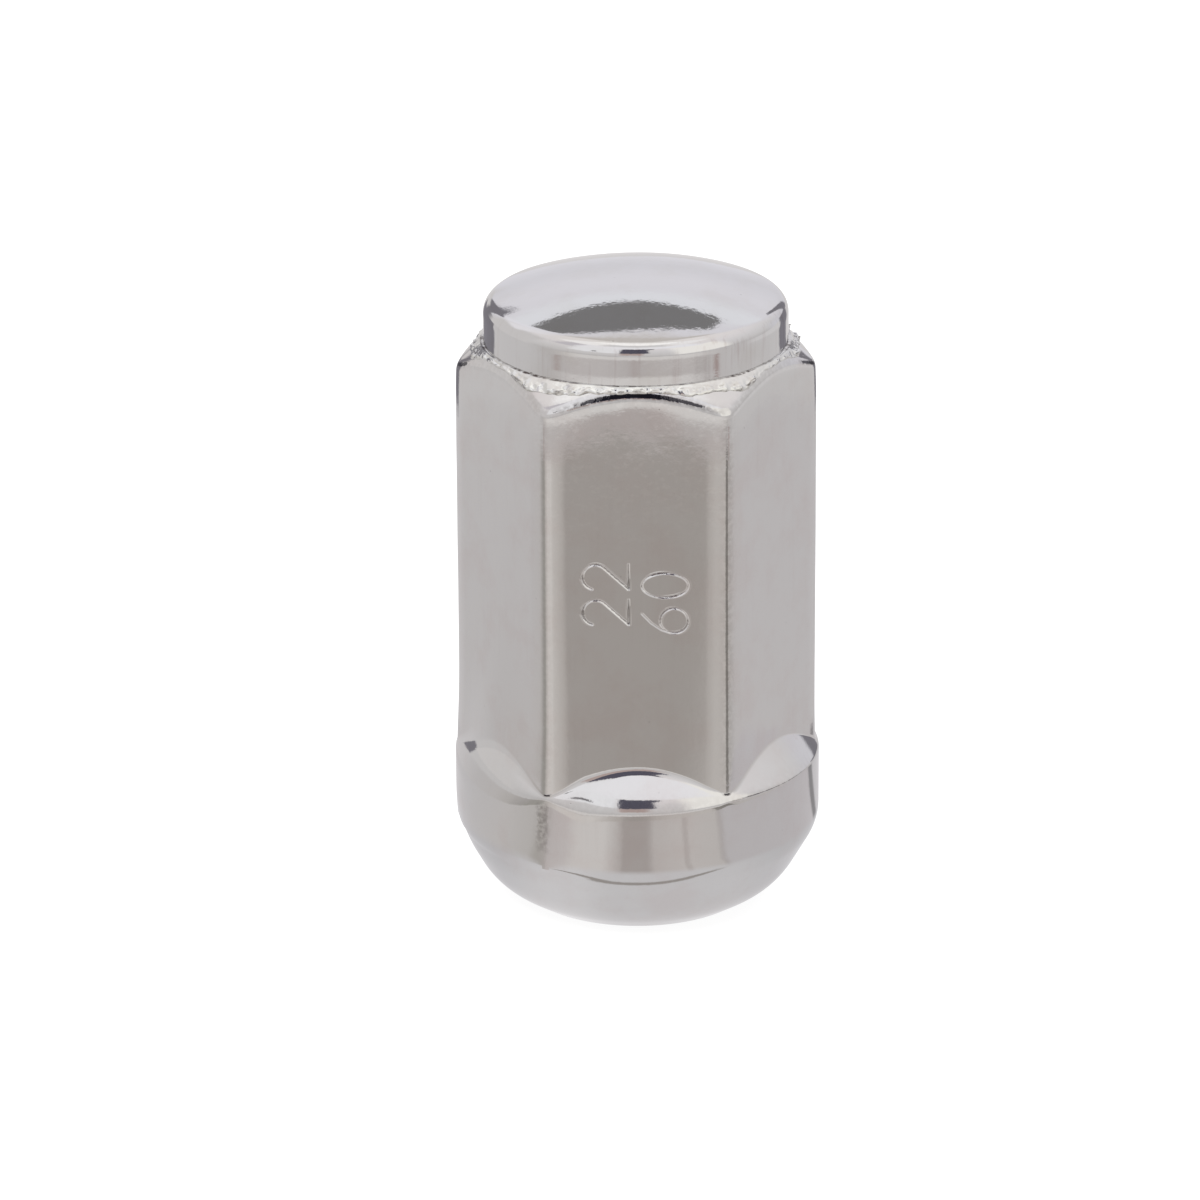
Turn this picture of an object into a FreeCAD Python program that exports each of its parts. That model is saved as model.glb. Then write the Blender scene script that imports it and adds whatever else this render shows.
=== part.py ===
import FreeCAD, Part
import math
import os
from FreeCAD import Vector

# Closed-end wheel nut with a bulged foot. All sizes are in millimetres.
# The origin is the centre of the end face that goes towards the wheel, on the thread axis.
# +Z runs up the axis to the domed cap, and one flat of the hexagon faces -Y.

# Hexagon that the socket drives
across_flats = 22.0
hexagon_corner_radius = 2.0
body_height = 40.3
shoulder_angle = 42.5
shoulder_edge_radius = 0.4

# Bulge below the hexagon
bulge_margin = 0.31
band_height = 5.1
ledge_angle = 53.5
ledge_foot_radius = 0.5
band_top_radius = 0.5
band_foot_radius = 4.0

# Conical seat that presses into the wheel, and its blunt nose
seat_included_angle = 60.0
seat_height = 5.4
nose_height = 1.45
nose_radius = 5.5
end_face_width = 0.8

# Metric thread, kept here as its bore; the flanks are finer than this model goes
thread_major_diameter = 14.0
thread_pitch = 1.5
bore_entry_clearance = 0.25
bore_entry_angle = 45.0

# Domed cap, welded on top of the hexagon
cap_inset = 0.54
cap_wall = 1.8
cap_side_height = 2.7
cap_dome_rise = 2.0
cap_rim_radius = 1.25
cap_crown_thickness = 2.5
cap_inner_chamfer = 0.8

# Derived sizes of the hexagon and the bulge
hexagon_sides = 6
half_side_angle = math.pi / hexagon_sides
flat_distance = across_flats / 2
corner_reach = (flat_distance - hexagon_corner_radius) / math.cos(half_side_angle) + hexagon_corner_radius
bulge_radius = corner_reach + bulge_margin
ledge_height = seat_height + band_height
ledge_rise = math.tan(math.radians(ledge_angle))
shoulder_drop = math.tan(math.radians(shoulder_angle))

# Derived sizes of the bore: a metric thread is 5/8 as deep as its sharp 60 degree triangle
thread_depth = 5 / 8 * thread_pitch * math.cos(math.pi / 6)
thread_minor_diameter = thread_major_diameter - 2 * thread_depth
bore_radius = thread_minor_diameter / 2
bore_entry_radius = thread_major_diameter / 2 + bore_entry_clearance
bore_entry_depth = (bore_entry_radius - bore_radius) / math.tan(math.radians(bore_entry_angle))

# Derived sizes of the seat and its nose
seat_slope = math.tan(math.radians(seat_included_angle / 2))
end_face_radius = bore_entry_radius + end_face_width
nose_break_radius = bulge_radius - (seat_height - nose_height) * seat_slope

# Derived sizes of the cap
cap_radius = flat_distance - cap_inset
cap_cavity_radius = cap_radius - cap_wall
cap_rim_height = body_height + cap_side_height
cap_top = cap_rim_height + cap_dome_rise
dome_radius = (cap_radius ** 2 + cap_dome_rise ** 2) / (2 * cap_dome_rise)
dome_centre_height = cap_top - dome_radius

# Most of a side that the roundings at its two ends may use up together
rounding_share = 0.98

axis_origin = Vector(0, 0, 0)
axis_direction = Vector(0, 0, 1)


def corner_setbacks(corners):
    """Length that each corner's rounding takes off both of its sides, shortened where two don't fit."""
    wanted = []
    for index, (corner, radius) in enumerate(corners):
        before = corners[index - 1][0]
        after = corners[(index + 1) % len(corners)][0]
        half_angle = (before - corner).getAngle(after - corner) / 2
        wanted.append(radius / math.tan(half_angle))
    fitted = list(wanted)
    for index in range(len(corners)):
        following = (index + 1) % len(corners)
        room = rounding_share * (corners[following][0] - corners[index][0]).Length
        needed = wanted[index] + wanted[following]
        if needed > room:
            fitted[index] = min(fitted[index], wanted[index] * room / needed)
            fitted[following] = min(fitted[following], wanted[following] * room / needed)
    return fitted


def rounded_corner(before, corner, after, setback):
    """Start, middle and end of the arc that rounds one corner, tangent to both of its sides."""
    to_before = (before - corner).normalize()
    to_after = (after - corner).normalize()
    half_angle = to_before.getAngle(to_after) / 2
    radius = setback * math.tan(half_angle)
    bisector = (to_before + to_after).normalize()
    middle_distance = radius / math.sin(half_angle) - radius
    start = corner + to_before * setback
    middle = corner + bisector * middle_distance
    end = corner + to_after * setback
    return start, middle, end


def rounded_face(corners):
    """Flat face inside a closed outline, given as (point, corner radius) pairs in order."""
    stretches = []
    setbacks = corner_setbacks(corners)
    for index, (corner, radius) in enumerate(corners):
        before = corners[index - 1][0]
        after = corners[(index + 1) % len(corners)][0]
        if radius > 0:
            stretches.append(rounded_corner(before, corner, after, setbacks[index]))
        else:
            stretches.append((corner,))
    edges = []
    for index, stretch in enumerate(stretches):
        following = stretches[(index + 1) % len(stretches)]
        if len(stretch) > 1:
            edges.append(Part.Arc(*stretch).toShape())
        edges.append(Part.makeLine(stretch[-1], following[0]))
    return Part.Face(Part.Wire(edges))


def turned(profile):
    """Solid of revolution about the nut's axis from (radius, height, corner radius) points."""
    corners = [(Vector(radius, 0, height), rounding) for radius, height, rounding in profile]
    return rounded_face(corners).revolve(axis_origin, axis_direction, 360)


def edges_between(shape, lowest, highest):
    """Edges of a shape that lie wholly between two heights."""
    found = []
    for edge in shape.Edges:
        box = edge.BoundBox
        if box.ZMin > lowest and box.ZMax < highest:
            found.append(edge)
    return found


def hexagon_prism(bottom):
    """Six-sided bar with rounded corners, from a height inside the bulge up to the cap."""
    sharp_reach = flat_distance / math.cos(half_side_angle)
    corners = []
    for side in range(hexagon_sides):
        angle = 2 * side * half_side_angle
        point = Vector(sharp_reach * math.cos(angle), sharp_reach * math.sin(angle), bottom)
        corners.append((point, hexagon_corner_radius))
    return rounded_face(corners).extrude(axis_direction * (body_height - bottom))


def hexagon_with_shoulder(bottom):
    """The bar with its top turned down to a cone, which leaves an arched edge on each flat."""
    outer_radius = bulge_radius + bulge_margin
    shoulder_foot = body_height - (outer_radius - cap_radius) * shoulder_drop
    envelope = turned([
        (0, bottom, 0),
        (outer_radius, bottom, 0),
        (outer_radius, shoulder_foot, 0),
        (cap_radius, body_height, 0),
        (0, body_height, 0),
    ])
    bar = hexagon_prism(bottom).common(envelope)
    above_arches = body_height - cap_inset * shoulder_drop / 2
    arched_edges = edges_between(bar, shoulder_foot, above_arches)
    return bar.makeFillet(shoulder_edge_radius, arched_edges)


def bulge(inner_radius):
    """Turned foot of the nut: seat cone with its nose, band, and the ledge up to the hexagon."""
    ledge_top = ledge_height + (bulge_radius - inner_radius) * ledge_rise
    return turned([
        (0, 0, 0),
        (end_face_radius, 0, 0),
        (nose_break_radius, nose_height, nose_radius),
        (bulge_radius, seat_height, band_foot_radius),
        (bulge_radius, ledge_height, band_top_radius),
        (inner_radius, ledge_top, 0),
        (0, ledge_top, 0),
    ])


def threaded_bore():
    """Space of the bore at the thread's crests, with its chamfered entry, through the whole body."""
    return turned([
        (0, 0, 0),
        (bore_entry_radius, 0, 0),
        (bore_radius, bore_entry_depth, 0),
        (bore_radius, body_height, 0),
        (0, body_height, 0),
    ])


def nut_body():
    """Forged hexagon and bulge in one piece, bored through for the thread."""
    band_middle = seat_height + band_height / 2
    blank = bulge(cap_radius).fuse(hexagon_with_shoulder(band_middle)).removeSplitter()
    ledge_limit = ledge_height + (bulge_radius - cap_radius) * ledge_rise
    meeting_edges = []
    for edge in edges_between(blank, ledge_height, ledge_limit):
        if edge.Curve.TypeId != "Part::GeomCircle":
            meeting_edges.append(edge)
    softened = blank.makeFillet(ledge_foot_radius, meeting_edges)
    return softened.cut(threaded_bore())


def cap_outside():
    """Outer form of the cap: straight side, rounded rim and a shallow spherical top, all tangent."""
    rim_centre_radius = cap_radius - cap_rim_radius
    rim_centre_reach = dome_radius - cap_rim_radius
    rim_centre_rise = math.sqrt(rim_centre_reach ** 2 - rim_centre_radius ** 2)
    rim_centre = Vector(rim_centre_radius, 0, dome_centre_height + rim_centre_rise)
    tangent_angle = math.atan2(rim_centre_rise, rim_centre_radius)

    def on_rim(angle):
        """Point on the rim's round, at an angle above the horizontal."""
        return rim_centre + Vector(math.cos(angle), 0, math.sin(angle)) * cap_rim_radius

    dome_foot = on_rim(tangent_angle)
    foot_centre = Vector(0, 0, body_height)
    foot = Vector(cap_radius, 0, body_height)
    dome_foot_centre = Vector(0, 0, dome_foot.z)
    edges = [
        Part.makeLine(foot_centre, foot),
        Part.makeLine(foot, on_rim(0)),
        Part.Arc(on_rim(0), on_rim(tangent_angle / 2), dome_foot).toShape(),
        Part.makeLine(dome_foot, dome_foot_centre),
        Part.makeLine(dome_foot_centre, foot_centre),
    ]
    side = Part.Face(Part.Wire(edges)).revolve(axis_origin, axis_direction, 360)
    # The sphere's own axis lies flat, so that neither of its poles falls on the dome
    sphere = Part.makeSphere(dome_radius, Vector(0, 0, dome_centre_height), Vector(1, 0, 0))
    above_rim = Part.makeCylinder(cap_radius, cap_dome_rise, dome_foot_centre)
    return side.fuse(sphere.common(above_rim))


def cap_hollow():
    """Space inside the cap, as the punch leaves it: flat above, with a chamfered corner."""
    ceiling = cap_top - cap_crown_thickness
    return turned([
        (0, body_height, 0),
        (cap_cavity_radius, body_height, 0),
        (cap_cavity_radius, ceiling - cap_inner_chamfer, 0),
        (cap_cavity_radius - cap_inner_chamfer, ceiling, 0),
        (0, ceiling, 0),
    ])


def end_cap():
    """Shallow pressed cup that closes the nut, seated face to face on the top of the hexagon."""
    return cap_outside().cut(cap_hollow())


os.makedirs("parts", exist_ok=True)
nut_body().exportStep("parts/nut_body.step")
end_cap().exportStep("parts/end_cap.step")
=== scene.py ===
"""Looks of a closed-end wheel nut: forged hexagon with a bulged foot, tapped bore and a welded domed cap.

The frame is that of the CAD part: the origin is the centre of the end face, +Z runs up the thread axis and one
flat of the hexagon faces -Y. Sizes in the classes are in millimetres, and meshes are written in metres.
"""

import logging
import math
from dataclasses import dataclass
from enum import Enum

import bpy
import numpy as np
from mathutils import Matrix, Vector

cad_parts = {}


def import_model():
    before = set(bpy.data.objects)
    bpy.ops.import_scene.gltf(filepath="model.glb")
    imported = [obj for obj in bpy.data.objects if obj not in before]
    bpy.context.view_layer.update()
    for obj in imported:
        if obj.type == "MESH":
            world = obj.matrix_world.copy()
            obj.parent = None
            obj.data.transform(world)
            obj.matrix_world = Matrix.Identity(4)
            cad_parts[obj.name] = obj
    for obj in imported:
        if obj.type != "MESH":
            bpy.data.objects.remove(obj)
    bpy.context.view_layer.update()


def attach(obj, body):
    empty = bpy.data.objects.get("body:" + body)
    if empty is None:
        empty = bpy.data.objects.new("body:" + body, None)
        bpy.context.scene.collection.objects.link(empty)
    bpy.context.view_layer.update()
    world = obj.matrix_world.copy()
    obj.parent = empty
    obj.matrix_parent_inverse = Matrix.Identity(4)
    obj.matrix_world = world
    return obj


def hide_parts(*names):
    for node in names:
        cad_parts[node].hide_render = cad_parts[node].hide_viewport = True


MM = 0.001
LOG = logging.getLogger("lug_nut")

# Most of a side that the roundings at its two ends may use up together, as in the CAD part
ROUNDING_SHARE = 0.98

# Red, green and blue; values for the flats, counter-clockwise from the front, or for flats and corners in turn
Tone = tuple[float, float, float]
BySide = tuple[float, ...]


class Finish(Enum):
    """Place of a finish in a piece's list of materials."""

    PLATED = 0
    TAPPED = 1


# --------------------------------------------------------------------------------------------------------------
# Mesh helpers
# --------------------------------------------------------------------------------------------------------------


class MeshParts:
    """Points and faces of one piece, gathered part by part and written to a mesh in one go."""

    def __init__(self) -> None:
        """Starts with nothing."""
        self.points: list[np.ndarray] = []
        self.marks: list[np.ndarray] = []
        self.faces: list[tuple[np.ndarray, int]] = []
        self.count = 0

    def add_points(self, points: np.ndarray, marks: np.ndarray | float = 0.0) -> int:
        """Adds points.

        Args:
            points: (..., 3) positions in millimetres.
            marks: Roughening, soot and painted crease shade at each point, 0 to 1; above 1 on painted dark
                lines.

        Returns:
            Number of the first of them.
        """
        flat = points.reshape(-1, 3)
        first = self.count
        self.points.append(flat)
        self.marks.append(np.broadcast_to(marks, points.shape[:-1]).ravel())
        self.count += len(flat)
        return first

    def add_faces(self, faces: np.ndarray, finish: Finish = Finish.PLATED) -> None:
        """Adds triangles or quads as an (n, 3) or (n, 4) array of point numbers."""
        self.faces.append((faces.reshape(-1, faces.shape[-1]), finish.value))

    def to_object(self, name: str, materials: list[bpy.types.Material], sharp_angle: float) -> bpy.types.Object:
        """Writes the mesh and links its object at the origin.

        Args:
            name: The piece's name.
            materials: Materials in the order of Finish.
            sharp_angle: Angle in degrees above which an edge shades sharp.

        Returns:
            The new object.
        """
        mesh = bpy.data.meshes.new(name)
        points = np.concatenate(self.points) * MM
        sizes = np.concatenate([np.full(len(faces), faces.shape[1]) for faces, _ in self.faces])
        corners = np.concatenate([faces.ravel() for faces, _ in self.faces])
        finishes = np.concatenate([np.full(len(faces), finish) for faces, finish in self.faces])
        starts = np.concatenate([[0], np.cumsum(sizes)[:-1]])
        mesh.vertices.add(len(points))
        mesh.vertices.foreach_set("co", points.ravel().astype(np.float32))
        mesh.loops.add(len(corners))
        mesh.loops.foreach_set("vertex_index", corners.astype(np.int32))
        mesh.polygons.add(len(sizes))
        mesh.polygons.foreach_set("loop_start", starts.astype(np.int32))
        mesh.polygons.foreach_set("material_index", finishes.astype(np.int32))
        mesh.polygons.foreach_set("use_smooth", np.ones(len(sizes), bool))
        mesh.update(calc_edges=True)
        mesh.validate()
        marks = np.concatenate(self.marks).astype(np.float32)
        # Marks: roughening, soot, painted shade in creases and grooves, and painted dark lines above 1
        mesh.attributes.new("marking", "FLOAT", "POINT").data.foreach_set("value", marks)
        mesh.set_sharp_from_angle(angle=math.radians(sharp_angle))
        for material in materials:
            mesh.materials.append(material)
        made = bpy.data.objects.new(name, mesh)
        bpy.context.scene.collection.objects.link(made)
        return made


def ring_quads(first: int, rows: int, columns: int, inward: bool = False) -> np.ndarray:
    """Quads of a grid that closes on itself round the axis.

    Point (row, column) has number first + row * columns + column, columns run counter-clockwise and rows run
    upwards, so that the faces point away from the axis.

    Args:
        first: Number of the grid's first point.
        rows: Rows of points.
        columns: Points in each row.
        inward: True for faces that point to the axis, as in a bore.

    Returns:
        (rows - 1, columns, 4) point numbers.
    """
    row = np.arange(rows - 1)[:, None]
    column = np.arange(columns)[None, :]
    following = (column + 1) % columns
    quads = np.stack(
        np.broadcast_arrays(
            row * columns + column,
            row * columns + following,
            (row + 1) * columns + following,
            (row + 1) * columns + column,
        ),
        -1,
    )
    quads = quads[..., ::-1] if inward else quads
    return quads + first


def zipped_loops(
    outer: np.ndarray, outer_at: np.ndarray, inner: np.ndarray, inner_at: np.ndarray
) -> np.ndarray:
    """Triangles that join two closed loops with different numbers of points.

    Both loops run the same way and start at the same place. Going round, each edge of one loop gets the point
    that the other loop has reached by then, which the sorted places along the loops give.

    Args:
        outer: Point numbers of the outer loop.
        outer_at: Their places along the loop, rising from 0 and below 1.
        inner: Point numbers of the inner loop.
        inner_at: Their places along the loop.

    Returns:
        (n, 3) point numbers, facing so that a counter-clockwise pair seen from above points up.
    """
    outer_next = np.append(outer_at[1:], 1.0)
    inner_next = np.append(inner_at[1:], 1.0)
    reached_inner = np.searchsorted(inner_at, outer_next, side="left") - 1
    reached_outer = np.searchsorted(outer_at, inner_next, side="right") - 1
    reached_outer = np.where(inner_next >= 1.0, len(outer), reached_outer) % len(outer)
    outward = np.stack([outer, np.roll(outer, -1), inner[reached_inner]], -1)
    inward = np.stack([outer[reached_outer], np.roll(inner, -1), inner], -1)
    return np.concatenate([outward, inward])


def turns_of(angles: np.ndarray) -> np.ndarray:
    """Angles in radians from the first one on, as shares of a full turn."""
    return np.mod(angles - angles[0], 2 * math.pi) / (2 * math.pi)


def fitted_setbacks(places: list[np.ndarray], radii: list[np.ndarray | float]) -> list[np.ndarray]:
    """Length that each corner's rounding takes off both of its sides, shortened where two don't fit.

    Args:
        places: Corners in order, each a (columns, 2) array.
        radii: Rounding wanted at each corner, a number or an array over the columns.

    Returns:
        One (columns, 1) array for each corner: radius / tan(half angle), and 0 at the two ends.
    """
    count = len(places)
    wanted = [np.zeros((len(places[0]), 1)) for _ in range(count)]
    for index in range(1, count - 1):
        back = places[index - 1] - places[index]
        ahead = places[index + 1] - places[index]
        cosine = (back * ahead).sum(1) / (np.linalg.norm(back, axis=1) * np.linalg.norm(ahead, axis=1))
        half = np.arccos(np.clip(cosine, -1, 1)) / 2
        wanted[index] = np.broadcast_to(radii[index] / np.tan(half), half.shape)[:, None].copy()
    fitted = [length.copy() for length in wanted]
    for index in range(count - 1):
        side = np.linalg.norm(places[index + 1] - places[index], axis=1, keepdims=True)
        room = ROUNDING_SHARE * side
        share = np.minimum(room / np.maximum(wanted[index] + wanted[index + 1], 1e-9), 1.0)
        fitted[index] = np.minimum(fitted[index], wanted[index] * share)
        fitted[index + 1] = np.minimum(fitted[index + 1], wanted[index + 1] * share)
    return fitted


def rounded_profile(
    corners: list[tuple[np.ndarray, np.ndarray]],
    radii: list[np.ndarray | float],
    arcs: tuple[int, ...],
    runs: list[np.ndarray],
) -> list[np.ndarray]:
    """Profiles with rounded corners, one for each column, worked out for all columns together.

    Each corner is replaced by the arc tangent to both of its sides, and the arc's points turn evenly about its
    centre, which lies on the corner's bisector.

    Args:
        corners: Radius and height of each corner, each an array over the columns.
        radii: Rounding of each corner, a number or an array over the columns.
        arcs: Steps of each corner's arc, 0 for a sharp corner.
        runs: For each side, the shares of its length at which it has points between its two arcs.

    Returns:
        List of (columns, 2) arrays of radius and height, from the first corner to the last.
    """
    places = [np.stack(np.broadcast_arrays(*corner), -1).astype(float) for corner in corners]
    setbacks = fitted_setbacks(places, radii)
    stations: list[np.ndarray] = [places[0]]
    leave = places[0]
    for index in range(1, len(places)):
        here = places[index]
        if arcs[index] > 0:
            back = places[index - 1] - here
            ahead = places[index + 1] - here
            back /= np.linalg.norm(back, axis=1, keepdims=True)
            ahead /= np.linalg.norm(ahead, axis=1, keepdims=True)
            half = np.arccos(np.clip((back * ahead).sum(1, keepdims=True), -1, 1)) / 2
            middle = (back + ahead) / np.linalg.norm(back + ahead, axis=1, keepdims=True)
            centre = here + middle * setbacks[index] / np.cos(half)
            start, end = here + back * setbacks[index], here + ahead * setbacks[index]
            turn = math.pi - 2 * half
            from_start, from_end = (start - centre) / np.sin(turn), (end - centre) / np.sin(turn)
            bend = [
                centre + np.sin((1 - share) * turn) * from_start + np.sin(share * turn) * from_end
                for share in np.linspace(0, 1, arcs[index] + 1)
            ]
        else:
            start, end, bend = here, here, [here]
        stations += [leave + (start - leave) * share for share in runs[index - 1]]
        stations += bend
        leave = end
    return stations


def outward_at(angles: np.ndarray) -> np.ndarray:
    """(columns, 3) unit vectors that point away from the axis at each angle."""
    return np.stack([np.cos(angles), np.sin(angles), np.zeros_like(angles)], -1)


def turned(radius: np.ndarray, height: np.ndarray, angles: np.ndarray) -> np.ndarray:
    """(rows, columns, 3) positions from radius and height, each an array that fits the grid."""
    x, y = radius * np.cos(angles), radius * np.sin(angles)
    return np.stack(np.broadcast_arrays(x, y, height), -1)


def degrees_from(angles: np.ndarray, centre: float) -> np.ndarray:
    """Turn from a direction in degrees to angles in radians, in degrees from -180 to 180."""
    return np.mod(np.degrees(angles) - centre + 180, 360) - 180


def by_side(angles: np.ndarray, values: BySide) -> np.ndarray:
    """Value at each angle, smooth round the nut, from values at evenly spaced directions.

    The first value belongs to the flat that faces -Y and the rest follow counter-clockwise. Between two of them
    the value follows half a cosine.

    Args:
        angles: Angles of the columns.
        values: Six values for the flats, or twelve for flats and corners in turn.

    Returns:
        One value for each angle.
    """
    count = len(values)
    place = np.mod((angles + math.pi / 2) / (2 * math.pi / count), count)
    lower = np.floor(place).astype(int) % count
    share = (1 - np.cos(math.pi * (place - np.floor(place)))) / 2
    known = np.array(values)
    return known[lower] * (1 - share) + known[(lower + 1) % count] * share


def gentle_waves(points: np.ndarray, seed: int, wavelength: float, count: int = 14) -> np.ndarray:
    """Smooth unevenness, between about -1 and 1: the mean of plane sine waves in random directions.

    Args:
        points: (..., 3) positions in millimetres.
        seed: Picks the directions and phases.
        wavelength: Typical length of a wave in millimetres.
        count: Number of waves.

    Returns:
        One value for each point.
    """
    random = np.random.default_rng(seed)
    directions = random.normal(size=(count, 3))
    directions /= np.linalg.norm(directions, axis=1, keepdims=True)
    numbers = 2 * math.pi / (wavelength * random.uniform(0.7, 1.6, count))
    phases = random.uniform(0, 2 * math.pi, count)
    waves = np.sin(points @ (directions * numbers[:, None]).T + phases)
    return waves.sum(-1) / math.sqrt(count)


# --------------------------------------------------------------------------------------------------------------
# Forms of the nut
# --------------------------------------------------------------------------------------------------------------


@dataclass(frozen=True)
class NutSizes:
    """Driving sizes that the pieces share, as in the CAD part."""

    flat_distance: float = 11.0
    body_height: float = 40.3
    shoulder_angle: float = 42.5
    cap_inset: float = 0.54

    @property
    def cap_radius(self) -> float:
        """Radius of the cap's side, where the shoulder ends."""
        return self.flat_distance - self.cap_inset


@dataclass(frozen=True)
class HexagonForm:
    """Cross-section of the hexagon: six flats that bend softly into tighter corners."""

    flat_distance: float = NutSizes.flat_distance
    flank_radius: float = 3.0
    apex_radius: float = 1.0
    corner_crowding: float = 1.35

    @property
    def flat_half_width(self) -> float:
        """Half of the flat part of a side."""
        return (self.flat_distance - self.flank_radius) * math.tan(math.pi / 6)

    @property
    def corner_reach(self) -> float:
        """Distance of a rounded corner from the axis."""
        radius = (self.flank_radius + self.apex_radius) / 2
        return (self.flat_distance - radius) / math.cos(math.pi / 6) + radius

    @staticmethod
    def off_flat(angles: np.ndarray) -> np.ndarray:
        """Turn of each angle from the middle of its flat, from -30 to 30 degrees in radians."""
        return np.mod(angles, math.pi / 3) - math.pi / 6

    def _section(self, angles: np.ndarray, corner_radius: float) -> np.ndarray:
        """Distance of a hexagon's wall from the axis: distance / cos on a flat, a circle at a corner."""
        from_flat = self.off_flat(angles)
        centre = (self.flat_distance - corner_radius) / math.cos(math.pi / 6)
        from_corner = math.pi / 6 - np.abs(from_flat)
        across = centre * np.sin(from_corner)
        rounded = centre * np.cos(from_corner) + np.sqrt(np.maximum(corner_radius**2 - across**2, 0))
        half_width = (self.flat_distance - corner_radius) * math.tan(math.pi / 6)
        on_flat = np.abs(self.flat_distance * np.tan(from_flat)) <= half_width
        return np.where(on_flat, self.flat_distance / np.cos(from_flat), rounded)

    def reach(self, angles: np.ndarray) -> np.ndarray:
        """Distance of the wall from the axis: the mean of hexagons with soft and with tight corners."""
        return (self._section(angles, self.flank_radius) + self._section(angles, self.apex_radius)) / 2

    def columns(self, flat_steps: int, corner_steps: int) -> np.ndarray:
        """Angles of the mesh's columns, close together round the corners.

        On a flat they are evenly spaced along it, and past its end they crowd towards the corner. They start at
        the corner left of the flat that faces -Y.

        Args:
            flat_steps: Steps across each flat.
            corner_steps: Steps in each half of a corner.

        Returns:
            Rising angles in radians, over one full turn.
        """
        across = np.linspace(-self.flat_half_width, self.flat_half_width, flat_steps + 1)
        flat = np.arctan(across / self.flat_distance)
        left = 1 - np.linspace(0, 1, corner_steps + 1)[1:]
        corner = math.pi / 6 - (math.pi / 6 - flat[-1]) * left**self.corner_crowding
        side = np.concatenate([-corner[::-1], flat, corner[:-1]])
        sides = -math.pi / 2 + np.arange(6) * math.pi / 3
        return (sides[:, None] + side[None, :]).ravel()


@dataclass(frozen=True)
class ThreadForm:
    """Metric internal thread: flat roots an eighth of a pitch wide, flat crests a quarter, 60 degree flanks."""

    major_radius: float = 7.0
    minor_radius: float = 6.1881
    pitch: float = 1.5
    entry_radius: float = 7.25
    root_width: float = 1 / 8
    crest_width: float = 1 / 4

    def radius(self, angles: np.ndarray, heights: np.ndarray) -> np.ndarray:
        """Radius of the tapped wall: its trapezoid follows height - pitch * turns, and the 45 degree entry
        chamfer's entry radius - height holds where that is wider."""
        along = np.mod(heights / self.pitch - angles / (2 * math.pi), 1.0)
        from_root = np.abs(along - 0.5)
        flank_width = (1 - self.root_width - self.crest_width) / 2
        down_flank = np.clip((from_root - self.root_width / 2) / flank_width, 0, 1)
        tapped = self.major_radius - (self.major_radius - self.minor_radius) * down_flank
        return np.maximum(tapped, self.entry_radius - heights)


class RoundedEdge(Enum):
    """Rounded edge of the body's profile, by the rows from the hexagon's wall to the middle of its arc."""

    SHOULDER = 5
    LEDGE_FOOT = -6
    BAND_TOP = -23


@dataclass(frozen=True)
class PaintedDarkLine:
    """Ragged painted dark reflection line on a rounded edge of the body, centred on a direction in degrees from
    +X.
    """

    edge: RoundedEdge
    centre: float
    half_width: float
    half_rows: float = 1.7
    offset: float = 0.0

    def share(self, angles: np.ndarray, row: np.ndarray, wall: int, above: int) -> np.ndarray:
        """How strongly the line shows: exp(-(angle / half width)^6) times exp(-(rows / half rows)^4).

        Args:
            angles: Angles of the columns in radians.
            row: (rows, 1) row numbers.
            wall: First row of the hexagon's wall.
            above: First row above it.

        Returns:
            (rows, columns) shares from 0 to 1.
        """
        start = above if self.edge is RoundedEdge.SHOULDER else wall
        aside = degrees_from(angles, self.centre)
        rows_off = (row - start - self.edge.value - self.offset) / self.half_rows
        return np.exp(-((aside / self.half_width) ** 6)) * np.exp(-(rows_off**4))


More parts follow.
